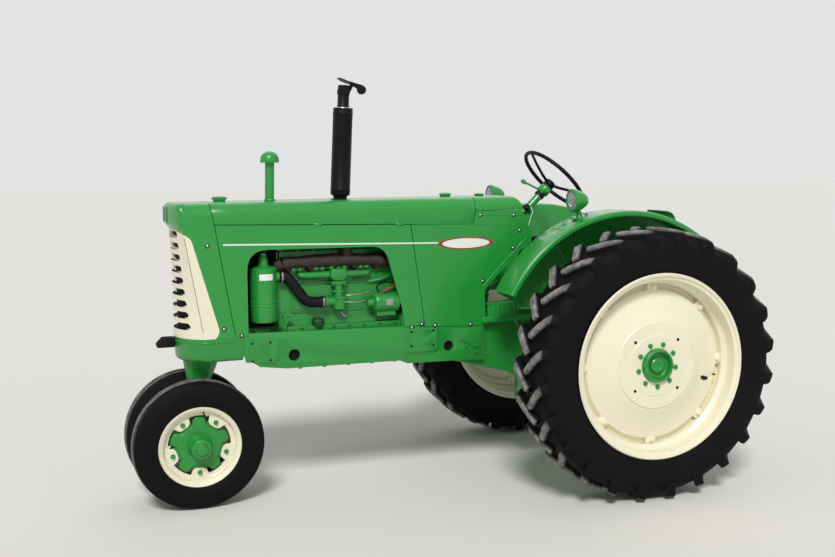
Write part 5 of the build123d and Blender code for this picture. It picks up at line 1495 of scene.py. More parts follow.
@dataclass
class Engine:
    """Engine, its manifolds, air intake, generator, radiator and fan."""

    manifold: tuple[float, float] = (140.0, 1326.0)
    carburettor_x: float = 1562.0
    carburettor_y: float = 144.0
    canister: tuple[float, float] = (1990.0, 136.0)
    fan_z: float = 1240.0
    block: tuple[float, float] = (1200.0, 1890.0)
    half_w: float = 100.0
    duct: tuple[float, float] = (144.0, 1100.0)
    intake_y: float = 136.0
    generator_at: tuple[float, float] = (160.0, 1083.0)
    starter_at: tuple[float, float] = (-156.0, 1060.0)
    pre_cleaner_at: tuple[float, float] = (1907.0, 1890.0)

    def core(self) -> None:
        """Block, head and pan with what is bolted to their sides."""
        softened("engine", GREEN_ENGINE, 6)
        for side in Side:
            self.flank(side)

    def flank(self, side: Side) -> None:
        """Covers, plugs and bolts of one side of the block.

        Args:
            side: Which side.
        """
        draft = Draft()
        sign = side.value
        rear, front = self.block
        cover = rounded(oblong((rear + 190, 1040), (front - 60, 1190)), 22, 5)
        for inset, depth in ((0, 8), (16, 13)):
            path = [cover[-1]] + cover + [cover[0]]
            shape = offset_path(path, inset)[1:-1] if inset else cover
            draft.loft([[(x, sign * (self.half_w - 1), z) for x, z in shape],
                        [(x, sign * (self.half_w + depth - 2), z) for x, z in shape],
                        [(x * 0.995 + 1545 * 0.005, sign * (self.half_w + depth), z * 0.99 + 1115 * 0.01)
                         for x, z in shape]])
        for x in range(int(rear) + 215, int(front) - 60, 118):
            for z in (1056, 1174):
                draft.bolt(side.out(x, self.half_w + 7, z), 15, 8)
        for x in range(int(rear) + 30, int(front), 92):
            draft.bolt(facing((x, sign * 148, 958), (0, 0, 1)), 16, 9)
            draft.bolt(facing((x, sign * 86, 1384), (0, 0, 1)), 17, 12)
        for x in (1290, 1530, 1770):
            draft.lathe([(0, 0.1), (0, 24), (4, 24), (5, 21), (2, 19), (2, 0.1)],
                        side.out(x, self.half_w - 0.5, 1225), 28)
        draft.piece(f"block_covers_{side.word}", GREEN_ENGINE)

    def manifolds(self) -> None:
        """Exhaust log with its riser, and the intake under it."""
        y, z = self.manifold
        log = Draft()

        def swell(share: float) -> float:
            """Radius of the log at a share of its length: a rib in the middle and three soft waves."""
            return 33 + 7 * max(0.0, 1 - abs(share - 0.5) * 9) + 2 * math.cos(share * math.pi * 6)

        path = [(1302 + 14.6 * k, y, z + 8 * math.sin(math.pi * k / 40)) for k in range(41)]
        log.tube(path, swell, sides=28)
        log.tube([(1886, y, z), (1905, y - 4, z - 8), (1912, y - 26, z - 34)], lambda s: 33 - 3 * s, 20, 28)
        log.tube([(1302, y, z), (1284, y - 4, z - 6), (1276, y - 26, z - 30)], lambda s: 33 - 3 * s, 20, 28)
        for x in (1330, 1460, 1590, 1720, 1850):
            log.tube([(x, y, z - 10), (x, y - 12, z - 26), (x, self.half_w - 1, z - 34)], 25, 12, 20)
        log.tube([(1510, y, z), (1510, y, 1430), (1507, 0, 1558), (1501, 0, 1660)], 30, 50, 24)
        log.piece("exhaust_log", RUSTY_IRON, ("exhaust_manifold",), 40)
        clamps = Draft()
        for x in (1395, 1430, 1525, 1560, 1600, 1655, 1690, 1785, 1820):
            clamps.box((x - 12, self.half_w - 1, 1283), (x + 12, self.half_w + 40, 1297))
            clamps.bolt(facing((x, self.half_w + 39, 1290), (0, 1, 0)), 17, 11)
            clamps.tube([(x - 27 + 9 * k, self.half_w + 34, 1290) for k in range(7)],
                        lambda s: 10.5 - 7 * (abs(s - 0.5) * 2) ** 1.5, sides=14)
        clamps.piece("manifold_clamps", GREEN_ENGINE)
        intake = Draft()
        y = self.intake_y
        for x, way in ((1380, -1), (1780, 1)):
            intake.tube([(self.carburettor_x, y, 1252), (x - way * 24, y, 1252), (x, y - 2, 1254),
                         (x, self.half_w - 1, 1258)], lambda s: 17 + 3 * (1 - s), 22, 20)
            intake.tube([(x - 34 * way, y, 1252), (x - 30 * way, y, 1252)], 21, sides=20)
        plenum = rounded([(1522, 1286), (1608, 1286), (1622, 1244), (1596, 1216), (1534, 1216),
                          (1508, 1244)], 12, 3)
        intake.loft([[(1565 + (x - 1565) * k, y, 1251 + (zz - 1251) * k) for x, zz in plenum]
                     for k, y in ((1.0, self.half_w), (1.0, 160), (0.9, 172), (0.66, 177))])
        for x in (1528, 1602):
            intake.tube([(x, 150, 1284), (x, 150, 1300)], 12, sides=14)
        intake.piece("intake_log", GREEN_ENGINE, ("intake_manifold",), 40)

    def carburettor(self) -> None:
        """Updraught carburettor with its bowl, linkage and fuel line."""
        x, y = self.carburettor_x, self.carburettor_y
        body = Draft()
        for half_x, half_y, low, high in ((44, 26, 1196, 1215), (36, 22, 1150, 1162)):
            flange = oblong((x - half_x, y - half_y), (x + half_x, y + half_y))
            body.plate(rounded(flange, 14, 4), low, high, None, 2)
        body.tube([(x, y, z) for z in (1098, 1122, 1142, 1200)], lambda s: 30 - 7 * min(1.0, s * 2),
                  sides=24)
        body.lathe([(0, 0.1), (0, 12), (5, 30), (14, 39), (70, 41), (74, 45), (84, 45), (86, 0.1)],
                   Matrix.Translation((x - 6, y, 1044)), 32)
        body.tube([(x, y, 1100), (x + 40, y, 1100), (x + 82, y, 1100)], lambda s: 24 + 4 * s, sides=24)
        body.tube([(x + 70, y, 1100), (x + 82, y, 1100)], 32, sides=24)
        body.tube([(x - 6, y, 1046), (x - 6, y, 1030)], 7, sides=10)
        for dx in (-32, 32):
            for z in (1215, 1162):
                body.bolt(facing((x + dx * (1 if z > 1200 else 0.8), y + 12, z - 19), (0, 0, -1)), 14, 9)
        for dx, dz in ((-26, 1118), (18, 1120)):
            body.bolt(facing((x + dx, y + 30, dz), (0, 1, 0)), 12, 12)
        body.piece("carburettor_body", GREEN_ENGINE, ("carburettor",), 36)
        links = Draft()
        links.tube([(x - 36, y + 26, 1130), (x - 70, y + 30, 1136), (x - 130, y + 20, 1138),
                    (x - 200, y, 1150)], 4, 20, 8)
        links.tube([(x - 20, y + 34, 1098), (x - 90, y + 40, 1092), (x - 150, y + 30, 1100)], 3.5, 20, 8)
        links.tube([(x - 6, y + 30, 1040), (x - 14, y + 34, 1024), (x - 30, y + 40, 1016)], 3, 6, 8)
        links.piece("throttle_links", BARE_STEEL)
        lines = Draft()
        for path, radius, bend, sides in (
                (((1840, 6, 1232), (1700, 8, 1222), (1600, 10, 1204)), 5, 20, 10),
                (((1460, 6, 1215), (1330, 8, 1212), (1230, 8, 1218)), 6, 20, 10),
                (((1380, 4, 1196), (1290, 20, 1210), (1220, 6, 1240)), 9, 24, 12)):
            lines.tube([(lx, self.half_w + out, lz) for lx, out, lz in path], radius, bend, sides)
        lines.piece("engine_lines", GREEN_ENGINE)

    def air(self) -> None:
        """Oil-bath canister, duct and the pre-cleaner stack."""
        x, y = self.canister
        can = Draft()
        can.lathe([(0, 0.1), (0, 62), (4, 70), (12, 74), (88, 75), (91, 77.5), (96, 77.5), (99, 75),
                   (107, 75), (110, 77.5), (115, 77.5), (118, 75), (283, 75), (288, 76.5), (296, 76.5),
                   (300, 73), (307, 62), (311, 34), (315, 30), (340, 28), (360, 24), (371, 20), (371, 0.1)],
                  Matrix.Translation((x, y, 1005)), 64)
        can.tube([(x - 50, y, 1255), (1905, y, 1255)], 29, sides=28)
        can.box((1906, 80, 1150), (x - 50, 98, 1180))
        can.piece("air_canister", GREEN_SHEET, ("air_cleaner",), 34)
        label = Draft()
        rings = []
        for z in (1242, 1276):
            rings.append([(x + r * math.sin(t), y + r * math.cos(t), z)
                          for r, ts in ((75.9, range(-6, 7)), (75.2, range(6, -7, -1)))
                          for t in [0.085 * k for k in ts]])
        label.loft(rings)
        label.piece("canister_label", WHITE)
        duct = Draft()
        duct_y, duct_z = self.duct
        duct.tube([(1905, y, 1255), (1862, y, 1255), (1804, duct_y, 1180), (1750, duct_y, duct_z),
                   (1644.5, duct_y, duct_z)], 30, 62, 28)
        for base, way in (((1903, y, 1255), (-1, 0, 0)), ((1646, duct_y, duct_z), (1, 0, 0))):
            duct.lathe([(0, 29), (0, 33), (12, 33), (12, 29)], facing(base, way), 28)
        duct.piece("air_duct_hose", BLACK_RUBBER, ("air_duct",), 40)
        bands = Draft()
        for base, way in (((1893, y, 1255), (-1, 0, 0)), ((1652, duct_y, duct_z), (1, 0, 0))):
            bands.lathe([(0, 32), (0, 35.2), (9, 35.2), (9, 32)], facing(base, way), 28)
        bands.piece("hose_clamps", BARE_STEEL)
        stack = Draft()
        top_x, top_z = self.pre_cleaner_at
        stack.tube([(x, y, 1376.4), (x, y, 1450), (1915, 0, 1540), (1915, 0, 1600), (top_x, 0, top_z)],
                   lambda s: 20 + 6 * min(1.0, s * 18), 60, 32)
        stack.lathe([(-10, 26), (-10, 50), (-8.5, 52.5), (-4, 53), (12, 52.3), (26, 48.5), (38, 40.5),
                     (47, 28), (52.5, 13), (54, 0.1), (44, 0.1), (-4, 26)],
                    Matrix.Translation((top_x, 0, top_z)), 48)
        stack.lathe([(0, 27), (0, 32), (5, 33), (9, 31), (11, 27)],
                    Matrix.Translation((1911, 0, HOOD_TOP_Z)), 40)
        stack.piece("pre_cleaner", GREEN_SHEET, ("intake_stack",), 36)
        # A black rubber sleeve round the stack under the hood; its black also stands in for the shade there.
        sleeve = Draft().tube([(x, y, 1386), (x, y, 1450), (1926, y * 0.15, 1526)], 29, 60, 28)
        sleeve.piece("stack_shade_sleeve", BLACK_RUBBER, smooth_deg=40)

    def generator(self) -> None:
        """Generator with its end bells, terminals and leads."""
        y, z = self.generator_at
        body = Draft()
        body.lathe([(0, 0.1), (0, 26), (3, 40), (8, 46), (12, 54), (14, 57), (22, 57), (24, 55), (120, 55),
                    (122, 57), (132, 57), (136, 54), (148, 50), (156, 38), (158, 22), (190, 20), (190, 0.1)],
                   facing((1208, y, z), (1, 0, 0)), 48)
        for turn in (0.6, 2.2, 3.9):
            spot = facing((1206, y + 44 * math.cos(turn), z + 44 * math.sin(turn)), (1, 0, 0))
            body.lathe([(0, 0.1), (0, 5), (150, 5), (150, 0.1)], spot, 10)
        body.box((1236, 100, 1006), (1346, y + 22, 1032))
        for foot_x in (1250, 1322):
            body.box((foot_x, 110, 1006), (foot_x + 12, y + 14, 1066))
        body.piece("generator_case", GREEN_ENGINE, ("generator",), 36)
        plate = Draft().loft([[(end_x, y + r * math.cos(t), z + r * math.sin(t))
                               for r, steps in ((56.2, range(-3, 4)), (55.2, range(3, -4, -1)))
                               for t in [0.1 * k + 0.05 for k in steps]] for end_x in (1262, 1302)])
        plate.piece("generator_plate", BARE_STEEL)
        lead = Draft().tube([(1320, y + 20, z + 54), (1280, y + 26, z + 76), (1236, y + 20, z + 92),
                             (1205, y + 6, z + 98)], 6, 20, 10)
        lead.piece("generator_lead_red", RED_SLEEVE)
        loom = Draft().tube([(1330, y + 10, z + 56), (1350, y + 10, z + 90), (1310, y + 2, z + 112),
                             (1215, y - 10, z + 110)], 4.5, 24, 10)
        loom.piece("generator_loom", BLACK_RUBBER)

    def details(self) -> None:
        """Oil filler, lifting bracket, a black sheet of painted shade beside the fan, and the far side's
        starter and oil filter.
        """
        draft = Draft()
        draft.lathe([(0, 0.1), (0, 24), (22, 23), (24, 0.1)], facing((1684, 132, 946), (0, 0.16, 1)), 28)
        draft.piece("oil_filler", GREEN_ENGINE)
        cap = Draft()
        spot = facing((1684, 136, 968), (0, 0.16, 1))
        cap.lathe([(0, 0.1), (0, 33), (3, 36), (13, 36), (15, 33), (22, 33), (24, 36), (34, 36), (38, 32),
                   (40, 14), (46, 12), (47, 0.1)], spot, 36)
        for turn in spins(12):
            cap.box((33, -2.5, 14), (37, 2.5, 24), spot @ turn, 0.8)
        cap.piece("oil_filler_cap", SMOKED_GREEN, smooth_deg=36)
        # A black sheet beside the fan is painted shade: it darkens the bay seen behind the air canister.
        outline = rounded([(1910, 962), (2072, 962), (2072, 1420), (1893, 1420), (1893, 1256), (1910, 1256)],
                          12, 3)
        shade_sheet = Draft().slab(outline, 48.0, 51.0)
        for z in (985, 1400):
            shade_sheet.bolt(facing((1990, 50.5, z), (0, 1, 0)), 13, 7)
        shade_sheet.piece("fan_side_shade_sheet", BLACK_CORE_AND_SHADE)
        bracket = Draft()
        bracket.lathe([(0, 13), (0, 24), (10, 24), (10, 13)], facing((1862, 150, 1027), (0, 1, 0)), 28)
        bracket.tube([(1866, 155, 1006), (1878, 155, 970), (1884, 155, 942)], 8, 12, 12)
        bracket.tube([(1886, 155, 1030), (1840, 155, 1034)], 7, sides=10)
        bracket.piece("lift_bracket", GREEN_ENGINE)
        starter = Draft()
        y, z = self.starter_at
        starter.lathe([(0, 0.1), (0, 42), (5, 51), (10, 54), (176, 54), (180, 52), (181, 45), (190, 44),
                       (194, 38), (194, 0.1)], facing((1214, y, z), (1, 0, 0)), 44)
        starter.lathe([(0, 0.1), (0, 18), (4, 22), (104, 22), (106, 20), (114, 19), (114, 0.1)],
                      facing((1230, y, z + 73), (1, 0, 0)), 28)
        starter.box((1250, y + 16, z - 30), (1370, -100.5, z + 32))
        starter.box((1262, y - 12, z + 48), (1318, y + 12, z + 58))
        for turn in (0.4, 2.5, 4.6):
            spot = facing((1394, y + 34 * math.cos(turn), z + 34 * math.sin(turn)), (1, 0, 0))
            starter.bolt(spot, 10, 7, False)
        starter.piece("starter_case", GREEN_ENGINE, ("starter_motor",), 36)
        filter_can = Draft()
        filter_can.lathe([(-10, 0.1), (-10, 32), (-8, 34), (0, 34), (2, 42), (6, 46), (128, 46), (134, 43),
                          (138, 34), (140, 10), (140, 0.1)], facing((1740, -152, 1010), (0, 0, 1)), 40)
        filter_can.tube([(1740, -140, 1085), (1740, -100.5, 1085)], 20, sides=20)
        filter_can.piece("filter_can", GREEN_ENGINE, ("oil_filter",), 36)
        plugs = Draft()
        for index in range(6):
            x = 1262 + index * 112
            plugs.lathe([(0, 0.1), (0, 11), (12, 11), (14, 7), (40, 6), (44, 9), (58, 9), (60, 0.1)],
                        facing((x, -99, 1345), (0, -1, 0.35)), 14)
            plugs.tube([(x, -158, 1366), (x, -178, 1392), (x + 20, -150, 1420), (x + 60, -90, 1432)],
                       4, 20, 8)
        plugs.piece("plug_leads", BLACK_RUBBER)

    def cooling(self) -> None:
        """Radiator core with its fins, tanks, hoses and the fan."""
        fins = Draft()
        fins.box((2192, -184, 1011), (2268, 184, 1519), None, 1)
        for index in range(36):
            y = -175 + index * 10
            fins.box((2266, y, 1016), (2271.5, y + 3, 1514), None, 0.5)
            fins.box((2188.5, y, 1016), (2193, y + 3, 1514), None, 0.5)
        fins.piece("radiator_core", BLACK_CORE_AND_SHADE, ("radiator",))
        tanks = Draft()
        outline = rounded(oblong((2177, -190), (2284, 190)), 24, 5)
        for low, high in ((1520, 1608), (941, 1010)):
            tanks.plate(outline, low, high, None, 8)
        tanks.tube([(2196, 0, 1600), (2196, 0, 1684)], 26, sides=28)
        tanks.piece("radiator_tanks", GREEN_SHEET, smooth_deg=40)
        hoses = Draft()
        hoses.tube([(2180, 40, 1560), (2080, 40, 1560), (1990, 20, 1440), (1880, 20, 1400)], 24, 60, 24)
        hoses.tube([(2182, -90, 975), (2060, -90, 975), (1960, -70, 1040), (1888, -60, 1070)], 24, 60, 24)
        hoses.piece("radiator_hoses", BLACK_RUBBER, smooth_deg=40)
        fan = Draft()
        fan.lathe([(0, 0.1), (0, 15), (20, 15), (20, 40), (24, 44), (60, 44), (62, 38), (62, 0.1)],
                  facing((2079, 0, self.fan_z), (1, 0, 0)), 32)
        blade = rounded([(-30, 34), (30, 34), (37, 180), (-37, 180)], 14, 4)
        # The blades are set at an angle, so each leans forwards across its width.
        faces = [[(x + 0.32 * y, y * 0.94, z) for y, z in blade] for x in (-1.2, 1.2)]
        for turn in spins(4, axis="X"):
            fan.loft(faces, Matrix.Translation((2122, 0, self.fan_z)) @ turn)
        fan.piece("fan_blades", GREEN_ENGINE, ("fan",), body="fan")

    def build(self) -> None:
        """Build everything under the hood."""
        self.core()
        self.manifolds()
        self.carburettor()
        self.air()
        self.generator()
        self.details()
        self.cooling()


@dataclass
class Chassis:
    """Frame castings, housings, drawbar and power shaft."""

    pads: tuple[tuple[float, float, float, float], ...] = ((2030, 853, 100, 98), (1088, 866, 135, 84))
    skirt_rear_x: float = 2130.0
    pedestal_x: float = 2327.0
    flange_r: float = 104.0
    shaft_end: tuple[float, float] = (-320.0, 640.0)
    trumpet_bolt_r: float = 112.0

    def castings(self) -> None:
        """The frame's castings and housings with rounded edges."""
        for node, radius in (("front_support", 8), ("frame_rails", 4), ("gearbox_housing", 10),
                             ("rear_housing", 14), ("axle_housing_left", 4), ("axle_housing_right", 4),
                             ("drawbar_hanger", 3)):
            softened(node, GREEN_CAST, radius)
        softened("steering_spindle", GREEN_CAST, 4, "front_spindle")
        softened("drawbar", GREEN_CAST, 2, "drawbar")
        softened("tow_bracket", BLACK_PAINT, 2)
        softened("pedals", GREEN_CAST, 1.5)

    def skirt(self, nose: Nose) -> None:
        """Upright apron of the front support with its pressed line and turned-in lower edge.

        Args:
            nose: The nose whose skin it follows.
        """
        reach = BODY_HALF_W + nose.crease_x(nose.low_z) - self.skirt_rear_x
        columns = 60
        rows: list[list[Point]] = []
        # Height of each row, and how far it is set in.
        for z, inset in ((938.5, -0.8), (905, 1.2), (868, 4.0), (835, 6.5), (823, 9.0), (816, 14.0),
                         (812.5, 22.0), (811, 38.0)):
            row: list[Point] = []
            for k in range(columns + 1):
                t = reach * (2 * k / columns - 1)
                spot = nose.wrap(t, nose.low_z)
                lag = inset if abs(t) <= BODY_HALF_W else 0.0
                row.append((spot.x - lag, spot.y * (1 - inset / BODY_HALF_W), z))
            rows.append(row)
        Draft().grid(rows).piece("support_skirt", GREEN_CAST, smooth_deg=40, sheet=3.0)
        line = Draft()
        line.tube([nose.wrap(reach * k / 20 * 0.9, 919) + Vector((0.6 if abs(k) < 13 else 0.0, 0, 0))
                   for k in range(-20, 21)], 3.4, sides=8)
        line.piece("skirt_line", GREEN_CAST, smooth_deg=60)

    def bolts(self) -> None:
        """Hole shadows and bolts along the frame, ribs of the axle housings and the pedestal's flange."""
        for side in Side:
            # Flat black discs on the pads and rails are painted shade for their holes.
            dark = Draft()
            for x, z, pitch_x, pitch_z in self.pads:
                for sx in (-0.5, 0.5):
                    for sz in (-0.5, 0.5):
                        spot = side.out(x + sx * pitch_x, 224, z + sz * pitch_z)
                        dark.lathe([(0, 0.1), (1, 0.1), (1, 7.4), (0, 7.4)], spot, 18)
            for x, z, radius in ((1845, 822, 33), (925, 812, 31)):
                dark.lathe([(0, 0.1), (1, 0.1), (1, radius + 0.4), (0, radius + 0.4)],
                           side.out(x, 196, z), 32)
            dark.piece(f"frame_hole_depths_{side.word}", BLACK_CORE_AND_SHADE)
            draft = Draft()
            for x, z in ((749, 846), (814, 809), (752, 771)):
                draft.bolt(side.out(x, 227.5, z), 15, 6)
            for x in (1240, 1380, 1520, 1660, 1800):
                draft.bolt(facing((x, side.value * 170, 746), (0, 0, -1)), 18, 11)
            for x, z in circle(self.trumpet_bolt_r, 10):
                draft.bolt(side.out(x, 240, REAR_AXLE_Z + z), 20, 12)
            for z in (620, 720, 820, 920, 980):
                draft.bolt(side.out(318, 212, z), 18, 10)
            for x, z in ((1180, 960), (1130, 960), (860, 960), (560, 950), (420, 950)):
                draft.bolt(side.out(x, 189, z), 16, 9)
            draft.piece(f"frame_bolts_{side.word}", GREEN_CAST)
        ribs = Draft()
        for side in Side:
            for turn in (0.5, 1.5, 2.5, 3.5):
                angle = math.pi / 2 * turn
                outline = [(0, 60), (0, 118), (40, 112), (230, 66), (230, 60)]
                spin = facing((0, side.value * 268, REAR_AXLE_Z), (0, side.value, 0), angle)
                ribs.loft([[spin @ Vector((r, w, h)) for h, r in outline] for w in (-7, 7)])
        ribs.piece("trumpet_ribs", GREEN_CAST, bevel=2)
        lip = Draft()
        lip.lathe([(0, 66), (0, 116), (6, 118), (12, 118), (16, 114), (16, 66)],
                  facing((self.pedestal_x, 0, 806), (-0.11, 0, 1)), 56)
        for x, y in circle(self.flange_r, 8, 0.3):
            lip.bolt(Matrix.Translation((self.pedestal_x + 1 + x, y, 824)), 16, 8)
        lip.piece("pedestal_flange", GREEN_CAST)

    def shaft(self) -> None:
        """Power take-off shaft with six splines and its collar."""
        outline: Outline = []
        for index in range(6):
            for turn, radius in ((0, 17.4), (17, 17.4), (22, 14.6), (38, 14.6), (43, 17.4)):
                angle = math.radians(index * 60 + turn)
                outline.append((radius * math.cos(angle), radius * math.sin(angle)))
        place = facing((self.shaft_end[0], 0, self.shaft_end[1]), (-1, 0, 0))
        draft = Draft().plate(outline, 0, 100, place, 1.5)
        draft.lathe([(-57.5, 0.1), (-57.5, 22), (-2, 22), (1, 19), (1, 0.1)], place, 36)
        draft.piece("power_shaft_splines", BARE_STEEL, ("pto_shaft",), 30, body="pto_shaft")

    def build(self, nose: Nose) -> None:
        """Build the chassis.

        Args:
            nose: The nose whose skin the apron follows.
        """
        self.castings()
        self.skirt(nose)
        self.bolts()
        self.shaft()


@dataclass
class DriversPlace:
    """Fenders, lamps, seat, platform, column, wheel and levers."""

    fender_r: float = 836.0
    fender_inner: float = 440.0
    fender_outer: float = 668.0
    fender_from: float = 28.0
    fender_to: float = 152.0
    step_z: float = 1040.0
    pan_z: float = 1262.0
    cushion_x: float = -438.0
    lamp: tuple[float, float, float] = (300.0, 560.0, 1650.0)
    wheel: tuple[float, float, float] = (128.0, 0.0, 1761.0)
    wheel_r: float = 226.0
    tilt: float = math.radians(46.0)

    def fender(self, side: Side) -> None:
        """Crowned fender with its inner wall, rolled lip and straps.

        Args:
            side: Which side.
        """
        inner, outer, full = self.fender_inner, self.fender_outer, self.fender_r
        sign = side.value
        # Place across the machine and share of the full radius, from the inner wall's foot to the outer lip.
        section = ((inner, 0.72), (inner, 0.97), (inner + 8, 0.993), (inner + 24, 1.0), (outer - 24, 1.0),
                   (outer - 8, 0.996), (outer - 1, 0.986), (outer, 0.967), (outer - 2, 0.962))
        rings = []
        steps = 48
        for step in range(steps + 1):
            angle = math.radians(self.fender_from + (self.fender_to - self.fender_from) * step / steps)
            ring = []
            for y, share in section:
                radius = full * share
                if y <= inner and share < 0.9:
                    floor = (self.step_z - REAR_AXLE_Z) / math.sin(angle)
                    radius = min(max(floor, 300.0), full * 0.96)
                ring.append((radius * math.cos(angle), sign * y, REAR_AXLE_Z + radius * math.sin(angle)))
            rings.append(ring)
        name = f"fender_{side.word}"
        Draft().grid(rings).piece(f"{name}_sheet", GREEN_SHEET, (name,), 34, sheet=3.0)
        straps = Draft()
        for angle_deg in (62.0, 118.0):
            angle = math.radians(angle_deg)
            out = Vector((math.cos(angle), 0, math.sin(angle)))
            along = Vector((-math.sin(angle), 0, math.cos(angle)))
            base = Vector((0, 0, REAR_AXLE_Z))
            corners = [base + out * (full - 9 + rise) + along * w
                       for rise, w in ((0, -22), (0, 22), (5, 22), (5, -22))]
            straps.slab([(c.x, c.z) for c in corners], sign * (inner + 8), sign * (outer - 12))
            for y in (inner + 60, (inner + outer) / 2, outer - 50):
                straps.dome(facing(base + out * (full - 1) + Vector((0, sign * y, 0)), out), 9, 5)
            aside = base + Vector((0, sign * (inner - 3), 0))
            straps.tube([aside + out * 560, aside + out * (full - 12)], 8, sides=8)
        straps.slab(oblong((-60, 1090), (60, 861.5)), sign * inner, sign * (inner + 4))
        for x in (-40, 0, 40):
            straps.bolt(side.out(x, inner + 3.5, 940), 19, 10)
        straps.piece(f"fender_straps_{side.word}", GREEN_CAST)

    def lamps(self) -> None:
        """Headlamp shells, reflectors, lenses and brackets."""
        x, y0, z = self.lamp
        shells, reflectors, lenses, wires = Draft(), Draft(), Draft(), Draft()
        for side in Side:
            y = y0 * side.value
            place = facing((x, y, z), (1, 0, 0))
            shells.lathe([(-92, 0.1), (-91, 12), (-86, 26), (-74, 38), (-52, 51), (-30, 58.5), (-12, 62),
                          (-8, 63), (-7, 66), (4, 67.5), (10, 66), (13, 62), (13, 58.5), (4, 58.5), (2, 60),
                          (-10, 60), (-50, 48), (-84, 20), (-86, 0.1)], place, 56)
            shells.tube([(x - 34, y, z - 54), (x - 34, y, z - 74)], 15, sides=16)
            foot_z = REAR_AXLE_Z + math.sqrt(self.fender_r ** 2 - (x - 39) ** 2)
            shells.tube([(x - 30, y, foot_z - 2), (x - 30, y, z - 62)], 9, sides=14)
            shells.box((x - 62, y - 30, foot_z - 6), (x + 2, y + 30, foot_z + 4))
            shells.bolt(facing((x - 30, y + 15, z - 64), (0, 1, 0)), 16, 9)
            reflectors.lathe([(3, 57.5), (-14, 52), (-30, 40), (-40, 20), (-42, 0.1), (-44, 0.1),
                              (-32, 42), (-15, 54), (2, 59)], place, 48)
            reflectors.lathe([(-40, 0.1), (-40, 6), (-20, 6), (-18, 3), (-18, 0.1)], place, 16)
            lenses.lathe([(4.6, 0.1), (4.6, 57.5), (8, 58), (12, 48), (16, 30), (18, 12), (18.5, 0.1)],
                         place, 48)
            wires.tube([(x - back, y - inwards * side.value, z - down)
                        for back, inwards, down in ((40, 0, 60), (70, 10, 110), (50, 60, 150),
                                                    (60, 100, 210))], 4, 24, 8)
        shells.piece("lamp_shells", GREEN_SHEET, ("headlamps",), 34)
        reflectors.piece("lamp_reflectors", SILVERED)
        lenses.piece("lamp_lenses", GLASS, ("headlamp_lenses",), 40)
        wires.piece("lamp_wires", BLACK_RUBBER)

    def seat(self) -> None:
        """Seat pan on its post, with the back and the cushion."""
        low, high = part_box("seat_frame")
        foot_z, top_z, rear = low[2] / MM, high[2] / MM, low[0] / MM - REAR_AXLE_X + 60
        pan_z = self.pan_z
        outline = [(-90, foot_z), (-180, foot_z), (-420, pan_z - 12), (-320, pan_z - 12)]
        post = Draft().slab(rounded(outline, 14, 3), -60, -56, 56, 60)
        pan = rounded(oblong((rear, -215), (-290, 215)), 60, 7)
        post.plate(pan, pan_z - 18, pan_z - 0.4, None, 5)
        post.piece("seat_pan", GREEN_SHEET, ("seat_frame",), 40)
        self.seat_back(rear, top_z)
        self.cushion()

    def seat_back(self, rear: float, top_z: float) -> None:
        """Curved back of the seat.

        Args:
            rear: Place of the pan's rear edge.
            top_z: Height of the seat frame's top.
        """
        columns, half_w = 24, 200
        rows = []
        # Share of the back's height, and how far it leans there.
        for share, back in ((0.0, 18), (0.12, 4), (0.35, -14), (0.6, -22), (0.8, -20), (0.9, -14),
                            (0.96, -4), (0.99, 8), (1.0, 16)):
            half = half_w - 92 * (1 - math.sqrt(max(0.0, 1 - (max(0.0, share - 0.6) / 0.4) ** 2)))
            across = [half * (2 * k / columns - 1) for k in range(columns + 1)]
            z = self.pan_z - 10 + (top_z - 12 - self.pan_z) * share
            rows.append([(rear + back + 34 * (y / half_w) ** 2, y, z) for y in across])
        Draft().grid(rows).piece("seat_back", GREEN_SHEET, sheet=5.0)

    def cushion(self) -> None:
        """Crowned vinyl cushion with its piping."""
        centre = Vector((self.cushion_x, 0))
        rings = []
        # Height over the pan, and how far the cushion swells there.
        for lift, grow in ((0.5, -26), (2, -10), (10, -2), (28, 3), (46, 2), (58, -6), (66, -22), (72, -60),
                           (75, -120)):
            ring = []
            for corner in rounded([(-292, -205), (-292, 205), (-585, 205), (-585, -205)], 70, 8):
                arm = Vector(corner) - centre
                ring.append(Vector((*(centre + arm * (1 + grow / arm.length)), self.pan_z + lift)))
            rings.append(ring)
        pad = Draft().loft(rings).piece("seat_pad", VINYL, ("seat_cushion",), 60)
        loop = [Vector((p.x, p.y, self.pan_z + 47)) for p in rings[4]]
        Draft().tube(loop + loop[:2], 4, sides=8).piece("seat_piping", VINYL)

    def column(self) -> None:
        """Steering wheel, column and the controls round it."""
        place = facing(self.wheel, (-math.sin(self.tilt), 0, math.cos(self.tilt)))
        wheel = Draft()
        steps = 96
        rings = []
        for step in range(steps):
            turn = 2 * math.pi * step / steps
            ripple = 1.0 + 0.05 * math.cos(turn * 36)
            rings.append([((self.wheel_r + out) * math.cos(turn), (self.wheel_r + out) * math.sin(turn), up)
                          for out, up in circle(12 * ripple, 14)])
        wheel.loft(rings, place, caps=False, closed=True)
        wheel.lathe([(-62, 0.1), (-62, 22), (-58, 34), (-34, 35), (-28, 30), (-24, 18), (-22, 0.1)],
                    place, 40)
        for index in range(3):
            turn = index * 2 * math.pi / 3 + math.pi / 2
            ends = [Vector((r * math.cos(turn), r * math.sin(turn), h))
                    for r, h in ((0, -44), (60, -42), (150, -22), (self.wheel_r - 4, 0))]
            wheel.tube([place @ p for p in ends], lambda s: 9.5 - 2 * s, 60, 14)
        wheel.tube([place @ Vector((0, 0, -58)), place @ Vector((0, 0, -92))], 14, sides=20)
        wheel.piece("steering_wheel_rim", BLACK_PAINT, ("steering_wheel",), 40, body="steering_wheel")
        column = Draft()
        column.tube([place @ Vector((0, 0, -64.5)), place @ Vector((0, 0, -420))], 24, sides=28)
        column.lathe([(-120, 24), (-120, 34), (-112, 38), (-84, 38), (-76, 32), (-68, 27), (-68, 24)],
                     place, 32)
        column.lathe([(-270, 24), (-268, 40), (-262, 42), (-256, 40), (-254, 24)], place, 32)
